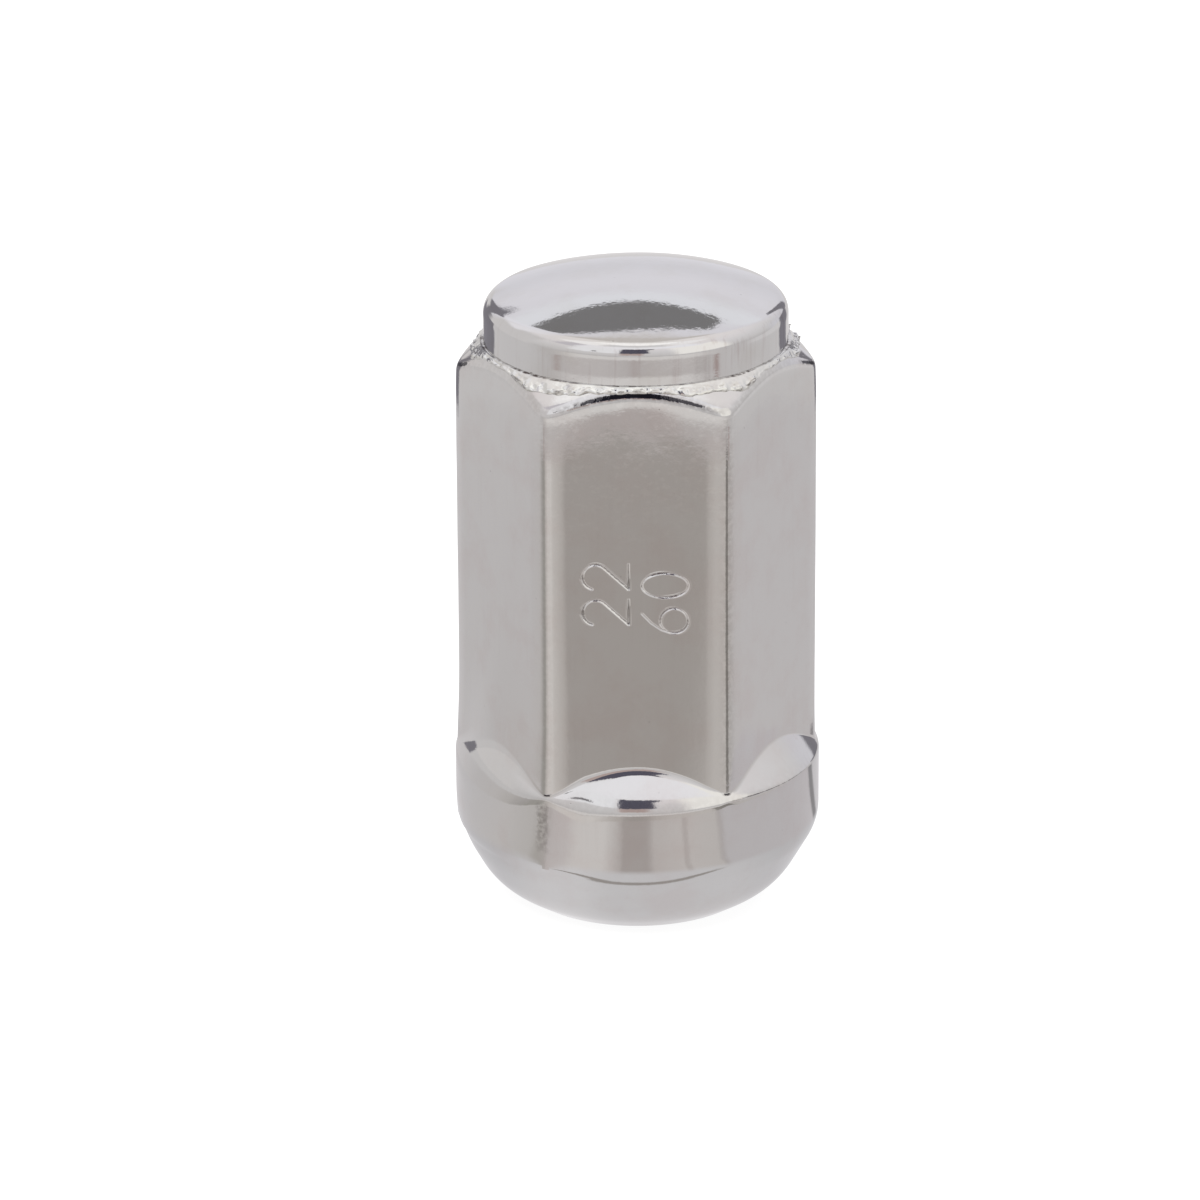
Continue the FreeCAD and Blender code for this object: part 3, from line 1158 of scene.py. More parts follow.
    def build(self, materials: list[bpy.types.Material]) -> bpy.types.Object:
        """Builds the closed mesh.

        Args:
            materials: Plating and the finish of the tapped bore.

        Returns:
            The piece, riding and standing for nut_body.
        """
        parts = MeshParts()
        angles = self.hexagon.columns(self.flat_steps, self.corner_steps)
        wall = np.concatenate([np.linspace(0, 1, self.wall_steps + 1)[1:-1], self.wall_top_shares])
        outside = self.surface(angles, wall)
        rows, columns = outside.shape[:2]
        first = parts.add_points(outside, self._wear_and_painted_lines(angles, rows))
        grid = first + np.arange(rows * columns).reshape(rows, columns)
        wall_row = rows - self.wall_rows - self.rows_above_wall
        low, high = (wall_row + row for row in self.patch_rows)
        left, right = self.patch_columns
        quads = ring_quads(first, rows, columns)
        kept = np.ones(quads.shape[:2], bool)
        kept[low:high, left:right] = False
        parts.add_faces(quads[kept])
        self._add_patch(parts, grid[low : high + 1, left : right + 1], angles[[left, right]], wall, wall_row)
        self._add_bore(parts, grid[0], grid[-1], angles)
        made = parts.to_object("forged_body", materials, self.sharp_angle)
        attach(made, "root")
        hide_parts("nut_body")
        return made

    def _add_patch(
        self, parts: MeshParts, hole: np.ndarray, sides: np.ndarray, wall: np.ndarray, wall_row: int
    ) -> None:
        """Fills the hole in the front flat with a fine grid that carries the stamped numbers.

        The grid lies on the same surface, a little inside the hole's edge, and is zipped to it.

        Args:
            parts: The mesh.
            hole: Numbers of the coarse grid's points on and inside the hole's edge.
            sides: Angles of the hole's left and right edge.
            wall: Shares of the wall's height of the coarse rows.
            wall_row: First coarse row of the wall.
        """
        distance = self.hexagon.flat_distance
        from_x, to_x = np.tan(sides + math.pi / 2) * distance + np.array([1, -1]) * self.patch_inset
        across = np.linspace(from_x, to_x, int(round((to_x - from_x) / self.patch_step)) + 1)
        fine_angles = -math.pi / 2 + np.arctan(across / distance)
        low, high = self.patch_rows
        inset = self.patch_row_inset * (wall[1] - wall[0])
        wall_foot, wall_top = self.wall_ends(distance)
        length = (wall[high] - wall[low]) * (wall_top - wall_foot)
        fine_rows = int(round(length / self.patch_step)) + 1
        fine_wall = np.linspace(wall[low] + inset, wall[high] - inset, fine_rows)
        fine = self.surface(fine_angles, fine_wall)[wall_row : wall_row + fine_rows]
        pressed = self.numbers.press(fine[..., 0], fine[..., 2])
        fine[..., 1] -= pressed
        height, width = fine.shape[:2]
        # The grooves are roughened and darkened with painted shade
        start = parts.add_points(fine, self.groove_roughening_and_shade * np.clip(-pressed / self.numbers.depth, 0, 1))
        grid = start + np.arange(height * width).reshape(height, width)
        parts.add_faces(np.stack([grid[:-1, :-1], grid[:-1, 1:], grid[1:, 1:], grid[1:, :-1]], -1))
        parts.add_faces(zipped_loops(*self._edge_of(hole), *self._edge_of(grid)))

    @staticmethod
    def _edge_of(grid: np.ndarray) -> tuple[np.ndarray, np.ndarray]:
        """Point numbers round a grid's edge, counter-clockwise, and their places as shares of the way round."""
        loop = np.concatenate([grid[0, :-1], grid[:-1, -1], grid[-1, :0:-1], grid[:0:-1, 0]])
        height, width = grid.shape
        sides = [np.arange(steps) / steps for steps in (width - 1, height - 1, width - 1, height - 1)]
        return loop, np.concatenate([(side + share) / 4 for side, share in enumerate(sides)])

    def _add_bore(self, parts: MeshParts, foot: np.ndarray, top: np.ndarray, angles: np.ndarray) -> None:
        """Adds the tapped bore and the flat rings that join it to the outside, below and on top.

        Args:
            parts: The mesh.
            foot: Numbers of the outside's lowest ring of points.
            top: Numbers of its highest ring.
            angles: Angles of its columns.
        """
        around = angles[0] + np.arange(self.bore_columns) / self.bore_columns * 2 * math.pi
        height = self.sizes.body_height
        heights = np.linspace(0, height, int(round(height / self.bore_step)) + 1)[:, None]
        start = parts.add_points(turned(self.thread.radius(around, heights), heights, around))
        parts.add_faces(ring_quads(start, len(heights), self.bore_columns, inward=True), Finish.TAPPED)
        bore_foot = start + np.arange(self.bore_columns)
        bore_top = bore_foot + (len(heights) - 1) * self.bore_columns
        below = zipped_loops(foot, turns_of(angles), bore_foot, turns_of(around))
        parts.add_faces(below[:, ::-1])
        parts.add_faces(zipped_loops(top, turns_of(angles), bore_top, turns_of(around)))


@dataclass
class DomedCap:
    """Shallow pressed cup that closes the nut."""

    sizes: NutSizes = NutSizes()
    side_height: float = 2.7
    dome_rise: float = 2.0
    rim_radius: float = 1.25
    wall_thickness: float = 1.8
    crown_thickness: float = 2.5
    inner_chamfer: float = 0.8

    # Slow unevenness, sunk so far that it stays inside the true form, and none at the foot
    unevenness: float = 0.008
    wave: float = 7.5
    side_sink: float = 2.0
    dome_sink: float = 2.2
    foot_fade: float = 0.6
    rim_fade: float = 0.5
    dome_wear: float = 0.28
    wear_fade: float = 0.8

    # Mesh
    columns: int = 240
    side_rows: int = 16
    rim_rows: int = 18
    dome_rows: int = 42
    ceiling_rows: int = 6
    pole_lift: float = 0.003
    sharp_angle: float = 40.0

    @property
    def ceiling_height(self) -> float:
        """Height of the flat ceiling of the hollow."""
        return self.sizes.body_height + self.side_height + self.dome_rise - self.crown_thickness

    def outside(self) -> np.ndarray:
        """Radius and height of the outside, from the foot almost to the pole.

        The side is straight, and the rim is an arc tangent to it and to the sphere of the top.
        """
        radius, foot, rise = self.sizes.cap_radius, self.sizes.body_height, self.dome_rise
        sphere = (radius**2 + rise**2) / (2 * rise)
        centre = foot + self.side_height + rise - sphere
        rim_r = radius - self.rim_radius
        rim_z = centre + math.sqrt((sphere - self.rim_radius) ** 2 - rim_r**2)
        meet = math.atan2(rim_z - centre, rim_r)
        side_z = np.linspace(foot, rim_z, self.side_rows)
        side = np.stack([np.full_like(side_z, radius), side_z], -1)
        turn = np.linspace(0, meet, self.rim_rows + 1)[1:]
        rim = np.stack([rim_r + self.rim_radius * np.cos(turn), rim_z + self.rim_radius * np.sin(turn)], -1)
        lift = np.linspace(meet, math.pi / 2, self.dome_rows + 2)[1:-1]
        dome = np.stack([sphere * np.cos(lift), centre + sphere * np.sin(lift)], -1)
        return np.concatenate([side, rim, dome])

    def hollow(self) -> np.ndarray:
        """Radius and height of the inside, from near its middle down to its foot."""
        radius = self.sizes.cap_radius - self.wall_thickness
        outward = np.linspace(0, radius - self.inner_chamfer, self.ceiling_rows + 1)[1:]
        ceiling = np.stack([outward, np.full_like(outward, self.ceiling_height)], -1)
        wall = [[radius, self.ceiling_height - self.inner_chamfer], [radius, self.sizes.body_height]]
        return np.concatenate([ceiling, np.array(wall)])

    def _uneven(self, points: np.ndarray, around: np.ndarray) -> np.ndarray:
        """The outside with slow waves, which move its side in and out and its top up and down.

        Args:
            points: (rows, columns, 3) positions of the true form.
            around: Angles of the columns.

        Returns:
            The moved positions.
        """
        waves = gentle_waves(points, 11, self.wave)
        above_foot = points[..., 2] - self.sizes.body_height
        fade = np.clip(above_foot / self.foot_fade, 0, 1)
        side = np.clip((self.side_height - above_foot) / self.rim_fade, 0, 1)
        outward = self.unevenness * (waves - self.side_sink) * fade * side
        moved = points + outward[..., None] * outward_at(around)
        moved[..., 2] += self.unevenness * (waves - self.dome_sink) * (1 - side)
        return moved

    def build(self, materials: list[bpy.types.Material]) -> bpy.types.Object:
        """Builds the closed cup.

        Args:
            materials: The cap's plating and the finish of its hidden inside.

        Returns:
            The piece, riding and standing for end_cap.
        """
        parts = MeshParts()
        around = np.arange(self.columns) / self.columns * 2 * math.pi
        profiles = self.outside(), self.hollow()
        outer, inner = (turned(profile[:, :1], profile[:, 1:], around) for profile in profiles)
        outer = self._uneven(outer, around)
        above_side = outer[..., 2] - self.sizes.body_height - self.side_height
        first = parts.add_points(outer, self.dome_wear * np.clip(above_side / self.wear_fade, 0, 1))
        parts.add_faces(ring_quads(first, len(outer), self.columns))
        pole = parts.add_points(np.array([0.0, 0.0, outer[-1, :, 2].mean() + self.pole_lift]))
        parts.add_faces(self._fan(pole, first + (len(outer) - 1) * self.columns))
        start = parts.add_points(inner)
        parts.add_faces(ring_quads(start, len(inner), self.columns), Finish.TAPPED)
        middle = parts.add_points(np.array([0.0, 0.0, self.ceiling_height]))
        parts.add_faces(self._fan(middle, start)[:, ::-1], Finish.TAPPED)
        outer_foot = first + np.arange(self.columns)
        inner_foot = start + (len(inner) - 1) * self.columns + np.arange(self.columns)
        foot = np.stack([outer_foot, inner_foot, np.roll(inner_foot, -1), np.roll(outer_foot, -1)], -1)
        parts.add_faces(foot, Finish.TAPPED)
        made = parts.to_object("domed_cap", materials, self.sharp_angle)
        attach(made, "root")
        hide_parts("end_cap")
        return made

    def _fan(self, pole: int, first: int) -> np.ndarray:
        """Triangles from a ring of points up to a pole above it."""
        ring = first + np.arange(self.columns)
        return np.stack([ring, np.roll(ring, -1), np.full_like(ring, pole)], -1)


@dataclass
class WeldRing:
    """Rough collar of weld upset that lies on the shoulder round the foot of the cap."""

    sizes: NutSizes = NutSizes()
    hexagon: HexagonForm = HexagonForm()

    # Width down the shoulder: a share of the room there, broken up by waves
    room_share: float = 0.62
    narrow: float = 0.36
    wide: float = 1.05
    margin: float = 0.05
    width_waves: tuple[float, float, float] = (0.16, 0.10, 0.05)

    # Section, by shares of the width: thickness, curled lip and rounded end
    gap: float = 0.09
    thickness: float = 0.10
    thinning: float = 0.3
    lip: float = 0.16
    lip_place: float = 0.86
    lip_half_width: float = 0.075
    curl_waves: tuple[float, float] = (0.9, 0.8)
    curl_bare: float = 0.1
    most_curl: float = 1.8
    end: float = 1.02
    end_length: float = 0.16
    roughness: float = 0.8
    fine_share: float = 0.4

    # How deep its edges are sunk into the cap and the body
    seam_depth: float = 0.05
    end_reach: float = 0.03
    end_depth: float = 0.30
    root_inset: float = 0.35
    root_depth: float = 0.5

    # Painted shade in the crease, by slow and quick waves, and soot on the lip, by quick and fine ones
    crease_shade: float = 0.55
    crease_waves: tuple[float, float] = (0.35, 0.45)
    lip_waves: tuple[float, float] = (0.6, 0.5)
    lip_bare: float = 0.1
    most_lip_soot: float = 0.7

    # Seed and wavelength of the slow, quick and fine waves round the collar, and of the two in its grain
    waves: tuple[tuple[int, float], ...] = ((21, 6.0), (22, 1.5), (23, 0.6))
    grain: tuple[tuple[int, float], ...] = ((24, 0.9), (25, 0.4))

    # Mesh
    wave_radius: float = 10.8
    columns: int = 1080
    section_rows: int = 17
    crease_rows: tuple[int, int] = (0, 2)
    lip_rows: tuple[int, int] = (13, 16)
    sharp_angle: float = 60.0

    def _section(
        self, around: np.ndarray, slow: np.ndarray, quick: np.ndarray, fine: np.ndarray
    ) -> tuple[np.ndarray, np.ndarray]:
        """Section of the collar at each angle, from the cap's wall down the shoulder and back inside the body.

        The lift off the shoulder is the thickness, less towards the end, plus a lip that follows
        exp(-((share - place) / half width)^2) and curls up with the waves. Fine waves roughen it, and it rounds
        off at its end. The last two rows close the section inside the body.

        Args:
            around: Angles of the columns.
            slow: Slow waves at each angle.
            quick: Quicker ones.
            fine: Fine ones.

        Returns:
            (rows, columns) radii and heights.
        """
        cap_radius, foot = self.sizes.cap_radius, self.sizes.body_height
        slope = math.radians(self.sizes.shoulder_angle)
        level, drop = math.cos(slope), math.sin(slope)
        room = (self.hexagon.reach(around) - cap_radius) / level
        swell = sum(share * waves for share, waves in zip(self.width_waves, (slow, quick, fine)))
        width = np.clip(room * self.room_share, self.narrow, self.wide) * (1 + swell)
        width = np.minimum(width, room - self.margin)
        shares = np.linspace(0, 1, self.section_rows)[:, None]
        along = self.gap + (width - self.gap) * shares
        radius, height = cap_radius + along * level, foot - along * drop
        on_shoulder = turned(radius, height, around)
        coarse, finer = (gentle_waves(on_shoulder, seed, wave) for seed, wave in self.grain)
        rough = (1 - self.fine_share) * coarse
        rough = rough + self.fine_share * finer
        curls = self.curl_waves[0] * quick + self.curl_waves[1] * fine - self.curl_bare
        curls = np.clip(curls, 0, self.most_curl)
        at_lip = np.exp(-(((shares - self.lip_place) / self.lip_half_width) ** 2))
        lift = self.thickness * (1 - self.thinning * shares) + self.lip * curls * at_lip
        lift = lift * (1 + self.roughness * np.clip((shares - 0.25) * 2.5, 0.12, 1) * rough)
        lift = lift * np.clip((self.end - shares) / self.end_length, 0, 1) ** 0.7
        radius, height = radius + lift * drop, height + lift * level
        radius[0] = cap_radius - self.seam_depth
        reached = width + self.end_reach
        end_radius = cap_radius + reached * level - self.end_depth * drop
        end_height = foot - reached * drop - self.end_depth * level
        root_radius = np.full_like(around, cap_radius - self.root_inset)
        root_height = np.full_like(around, foot - self.root_depth)
        return np.vstack([radius, end_radius, root_radius]), np.vstack([height, end_height, root_height])

    def build(self, materials: list[bpy.types.Material]) -> bpy.types.Object:
        """Builds the collar as a closed ring, with painted shade in the crease at the cap and soot on its lip.

        Args:
            materials: The weld's finish.

        Returns:
            The piece, riding on the root body.
        """
        around = np.arange(self.columns) / self.columns * 2 * math.pi
        circle = self.wave_radius * outward_at(around)
        slow, quick, fine = (gentle_waves(circle, seed, wave) for seed, wave in self.waves)
        radius, height = self._section(around, slow, quick, fine)
        soot_and_painted_darkening = np.zeros_like(radius)
        in_crease = self.crease_shade + self.crease_waves[0] * slow + self.crease_waves[1] * quick
        on_lip = self.lip_waves[0] * quick + self.lip_waves[1] * fine - self.lip_bare
        # Painted shade in the crease at the cap, and soot on the lip
        soot_and_painted_darkening[slice(*self.crease_rows)] = np.clip(in_crease, 0, 1)
        soot_and_painted_darkening[slice(*self.lip_rows)] = np.clip(on_lip, 0, self.most_lip_soot)
        parts = MeshParts()
        first = parts.add_points(turned(radius, height, around)[::-1], soot_and_painted_darkening[::-1])
        rows = len(radius)
        parts.add_faces(ring_quads(first, rows, self.columns))
        begin = first + np.arange(self.columns)
        last = begin + (rows - 1) * self.columns
        parts.add_faces(np.stack([last, np.roll(last, -1), np.roll(begin, -1), begin], -1))
        made = parts.to_object("weld_ring", materials, self.sharp_angle)
        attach(made, "root")
        return made


# --------------------------------------------------------------------------------------------------------------
# Studio and camera
# --------------------------------------------------------------------------------------------------------------

WHITE = (1.0, 1.0, 1.0, 1.0)
SCREEN: Tone = (0.27, 0.26, 0.29)


def directions(wiring: Wiring, direction: Value) -> tuple[bpy.types.NodeSocket, bpy.types.NodeSocket]:
    """Azimuth and elevation of a direction in degrees: atan2(x, -y) and the arc sine of z / length."""
    parts = wiring.node("ShaderNodeSeparateXYZ", inputs={0: direction}).outputs
    forwards = wiring.math("MULTIPLY", parts["Y"], -1.0)
    azimuth = wiring.math("DEGREES", wiring.math("ARCTAN2", parts["X"], forwards))
    length = wiring.node("ShaderNodeVectorMath", {"operation": "LENGTH"}, {0: direction}).outputs["Value"]
    elevation = wiring.math("DEGREES", wiring.math("ARCSINE", wiring.math("DIVIDE", parts["Z"], length)))
    return azimuth, elevation


def by_angle(
    wiring: Wiring, angle: Value, tones: tuple[tuple[float, Tone], ...], low: float, high: float
) -> bpy.types.NodeSocket:
    """Tone read from (angle, tone) stops between two angles. The ramp holds at most 1, so tones are halved."""
    share = wiring.math("DIVIDE", wiring.math("SUBTRACT", angle, low), high - low)
    stops = [((at - low) / (high - low), tuple(0.5 * part for part in tone)) for at, tone in tones]
    return wiring.scaled(wiring.ramp(share, stops), (2.0, 2.0, 2.0))


@dataclass(frozen=True)
class Card:
    """Soft-edged panel of the studio as the plating sees it, in degrees of azimuth and elevation.

    Its lower and upper edges may bow: at its half width they lie that much higher and lower than in its middle.
    """

    azimuth: float
    half_width: float
    low: float
    high: float
    tone: Tone
    side_blur: float = 2.0
    edge_blur: float = 1.2
    bow: tuple[float, float] = (0.0, 0.0)

    def over(self, wiring: Wiring, azimuth: Value, elevation: Value, behind: Value) -> bpy.types.NodeSocket:
        """Lays the panel over what is behind it.

        Args:
            wiring: The world's wiring.
            azimuth: Azimuth of the direction in degrees.
            elevation: Its elevation in degrees.
            behind: Colour without the panel.

        Returns:
            Colour with the panel.
        """
        turned = wiring.math("FLOORED_MODULO", wiring.math("ADD", azimuth, 540.0 - self.azimuth), 360.0)
        aside = wiring.math("ABSOLUTE", wiring.math("SUBTRACT", turned, 180.0))
        across = wiring.smooth(aside, self.half_width + self.side_blur, self.half_width - self.side_blur)
        low = high = elevation
        if any(self.bow):
            bend = wiring.math("POWER", wiring.math("DIVIDE", aside, self.half_width), 2.0)
            low = wiring.math("MULTIPLY_ADD", bend, -self.bow[0], elevation)
            high = wiring.math("MULTIPLY_ADD", bend, self.bow[1], elevation)
        above = wiring.smooth(low, self.low - self.edge_blur, self.low + self.edge_blur)
        below = wiring.smooth(high, self.high + self.edge_blur, self.high - self.edge_blur)
        mask = wiring.math("MULTIPLY", across, wiring.math("MULTIPLY", above, below))
        return wiring.mix(mask, behind, (*self.tone, 1.0))


@dataclass(frozen=True)
class FloorPatch:
    """Soft-edged patch of the floor as the plating mirrors it, at an azimuth in degrees.

    It fades in over the distances near, in metres from the nut's axis, and out again over the distances far.
    """

    azimuth: float
    half_width: float
    near: tuple[float, float]
    far: tuple[float, float]
    tone: Tone
    share: float = 1.0
    side_blur: float = 1.5

    def over(self, wiring: Wiring, azimuth: Value, distance: Value, behind: Value) -> bpy.types.NodeSocket:
        """Lays the patch over what is behind it.

        Args:
            wiring: The floor material's wiring.
            azimuth: Azimuth of the point in degrees.
            distance: Its distance in metres.
            behind: Colour without the patch.

        Returns:
            Colour with the patch.
        """
        aside = wiring.math("ABSOLUTE", wiring.math("SUBTRACT", azimuth, self.azimuth))
        across = wiring.smooth(aside, self.half_width + self.side_blur, self.half_width - self.side_blur)
        left_near = wiring.smooth(distance, *self.near)
        not_far = wiring.smooth(distance, *self.far[::-1])
        reached = wiring.math("MULTIPLY", left_near, not_far)
        mask = wiring.math("MULTIPLY", wiring.math("MULTIPLY", across, reached), self.share)
        return wiring.mix(mask, behind, (*self.tone, 1.0))


@dataclass(frozen=True)
class Lamp:
    """Soft square lamp that points at the nut and isn't mirrored as a shape of its own, in metres and watts."""

    name: str
    place: tuple[float, float, float]
    size: float
    power: float
    aim_height: float = 0.02

    def build(self) -> None:
        """Places the lamp and turns it to the nut."""
        lamp = bpy.data.lights.new(self.name, "AREA")
        lamp.size = self.size
        lamp.energy = self.power
        held = bpy.data.objects.new(self.name, lamp)
        bpy.context.scene.collection.objects.link(held)
        aim = Vector((0, 0, self.aim_height)) - Vector(self.place)
        held.location = self.place
        held.rotation_euler = aim.to_track_quat("-Z", "Y").to_euler()
        held.visible_glossy = False
        held.visible_camera = False


@dataclass(frozen=True)
class MirroredFloor:
    """Tones of the floor as the plating mirrors them, by azimuth in degrees and distance in metres.

    A pair of distances or azimuths is where a change starts and where it is complete.
    """

    # All round the nut: around beyond the distances of close_fade, close within them
    around: tuple[tuple[float, Tone], ...] = (
        (-180, (0.76, 0.74, 0.76)),
        (-135, (0.78, 0.76, 0.77)),
        (-108, (0.71, 0.685, 0.685)),
        (-90, (0.71, 0.68, 0.67)),
        (-80, (0.65, 0.62, 0.60)),
        (-72, (0.54, 0.515, 0.50)),
        (-66, (0.48, 0.46, 0.43)),
        (-58, (0.48, 0.46, 0.43)),
        (-52, (0.68, 0.64, 0.61)),
        (-41, (0.87, 0.82, 0.79)),
        (-25, (0.87, 0.83, 0.80)),
        (-17, (0.73, 0.69, 0.66)),
        (-10, (0.63, 0.59, 0.56)),
        (-5.5, (0.515, 0.478, 0.452)),
        (3.6, (0.505, 0.470, 0.442)),
        (8.5, (0.63, 0.59, 0.56)),
        (16, (0.71, 0.67, 0.64)),
        (38, (0.745, 0.70, 0.67)),
        (42, (0.71, 0.67, 0.64)),
        (44, (0.34, 0.32, 0.30)),
        (54, (0.34, 0.32, 0.30)),
        (56.5, (0.69, 0.66, 0.64)),
        (95, (0.735, 0.705, 0.705)),
        (115, (0.73, 0.705, 0.712)),
        (180, (0.76, 0.74, 0.76)),
    )
    close: tuple[tuple[float, Tone], ...] = (
        (-180, (0.72, 0.70, 0.72)),
        (-113, (0.72, 0.70, 0.71)),
        (-75, (0.74, 0.71, 0.70)),
        (-57, (0.68, 0.65, 0.63)),
        (-53, (0.56, 0.53, 0.50)),
        (-48, (0.60, 0.56, 0.54)),
        (-45, (0.72, 0.67, 0.66)),
        (-37, (0.76, 0.71, 0.70)),
        (-31, (0.85, 0.81, 0.79)),
        (-17, (0.85, 0.81, 0.79)),
        (-9.0, (0.66, 0.62, 0.60)),
        (-7.2, (0.545, 0.50, 0.48)),
        (4.8, (0.545, 0.50, 0.48)),
        (8.5, (0.70, 0.66, 0.64)),
        (22.5, (0.745, 0.70, 0.68)),
        (24.5, (0.60, 0.55, 0.53)),
        (26.5, (0.745, 0.70, 0.68)),
        (41, (0.72, 0.68, 0.66)),
        (43, (0.60, 0.56, 0.55)),
        (46, (0.70, 0.67, 0.68)),
        (116, (0.71, 0.68, 0.70)),
        (118, (0.34, 0.33, 0.34)),
        (123, (0.34, 0.33, 0.34)),
        (125, (0.72, 0.70, 0.72)),
        (180, (0.72, 0.70, 0.72)),
    )
    close_fade: tuple[float, float] = (0.0425, 0.0400)

    # Far paper, which only the cap's side and the top of the hexagon mirror
    far_fade: tuple[float, float] = (0.113, 0.122)
    far_share: float = 0.85
    far_front: Tone = (0.70, 0.66, 0.65)
    far_side: Tone = (0.78, 0.76, 0.76)
    far_turn: tuple[float, float] = (45.0, 80.0)

    # Right under the seat, brighter to the left, and a thin dark line along the front that runs below the band
    under_fade: tuple[float, float] = (0.0225, 0.0180)
    under_right: Tone = (0.80, 0.785, 0.80)
    under_left: Tone = (0.87, 0.855, 0.87)
    under_left_turn: tuple[float, float] = (-8.0, -30.0)
    under_side: Tone = (0.71, 0.70, 0.72)
    under_side_turn: tuple[float, float] = (38.0, 80.0)
    line_y: float = -0.0146
    line_blur: tuple[float, float] = (0.00075, 0.00020)
    line_fade: tuple[float, float] = (0.0195, 0.0170)
    line_tone: Tone = (0.44, 0.41, 0.39)

    patches: tuple[FloorPatch, ...] = (
        FloorPatch(0, 55, (0.130, 0.155), (2, 3), (0.95, 0.92, 0.90), 0.9, 15),
        FloorPatch(60.5, 2.0, (0.108, 0.116), (0.135, 0.14), (0.46, 0.35, 0.33), 0.85, 2.5),
        FloorPatch(-60, 2.5, (0.108, 0.116), (0.135, 0.14), (0.56, 0.48, 0.46), 0.8, 3),
        FloorPatch(-1, 2.5, (0.117, 0.121), (0.135, 0.14), (0.57, 0.50, 0.48), 0.6, 4),
        FloorPatch(-112, 28, (0.08, 0.16), (2, 3), (0.79, 0.77, 0.77), 1.0, 6),
        FloorPatch(118, 26, (0.13, 0.18), (2, 3), (0.88, 0.86, 0.865), 0.9, 6),
        FloorPatch(-146, 16, (0.108, 0.118), (2, 3), SCREEN),
        FloorPatch(143, 9, (0.108, 0.118), (2, 3), SCREEN),
    )

    def tone(self, wiring: Wiring, place: Value) -> bpy.types.NodeSocket:
        """Mirrored tone at a place on the floor, laid up from the ramps round the nut to the patches.

        Args:
            wiring: The floor material's wiring.
            place: Position in metres.

        Returns:
            The tone.
        """
        azimuth, _ = directions(wiring, place)
        parts = wiring.node("ShaderNodeSeparateXYZ", inputs={0: place}).outputs
        distance = wiring.node("ShaderNodeVectorMath", {"operation": "LENGTH"}, {0: place}).outputs["Value"]
        aside = wiring.math("ABSOLUTE", azimuth)
        tone = by_angle(wiring, azimuth, self.around, -180, 180)
        close = by_angle(wiring, azimuth, self.close, -180, 180)
        tone = wiring.mix(wiring.smooth(distance, *self.close_fade), tone, close)
        far = self._between(wiring, wiring.smooth(aside, *self.far_turn), self.far_front, self.far_side)
        reached = wiring.math("MULTIPLY", wiring.smooth(distance, *self.far_fade), self.far_share)
        tone = wiring.mix(reached, tone, far)
        to_left = wiring.smooth(azimuth, *self.under_left_turn)
        under = self._between(wiring, to_left, self.under_right, self.under_left)
        under = wiring.mix(wiring.smooth(aside, *self.under_side_turn), under, (*self.under_side, 1.0))
        tone = wiring.mix(wiring.smooth(distance, *self.under_fade), tone, under)
        from_line = wiring.math("ABSOLUTE", wiring.math("SUBTRACT", parts["Y"], self.line_y))
        line = wiring.smooth(from_line, *self.line_blur)
        line = wiring.math("MULTIPLY", line, wiring.smooth(distance, *self.line_fade))
        tone = wiring.mix(line, tone, (*self.line_tone, 1.0))
        for patch in self.patches:
            tone = patch.over(wiring, azimuth, distance, tone)
        return tone

    @staticmethod
    def _between(wiring: Wiring, share: Value, first: Tone, second: Tone) -> bpy.types.NodeSocket:
        """Tone between two."""
        return wiring.mix(share, (*first, 1.0), (*second, 1.0))


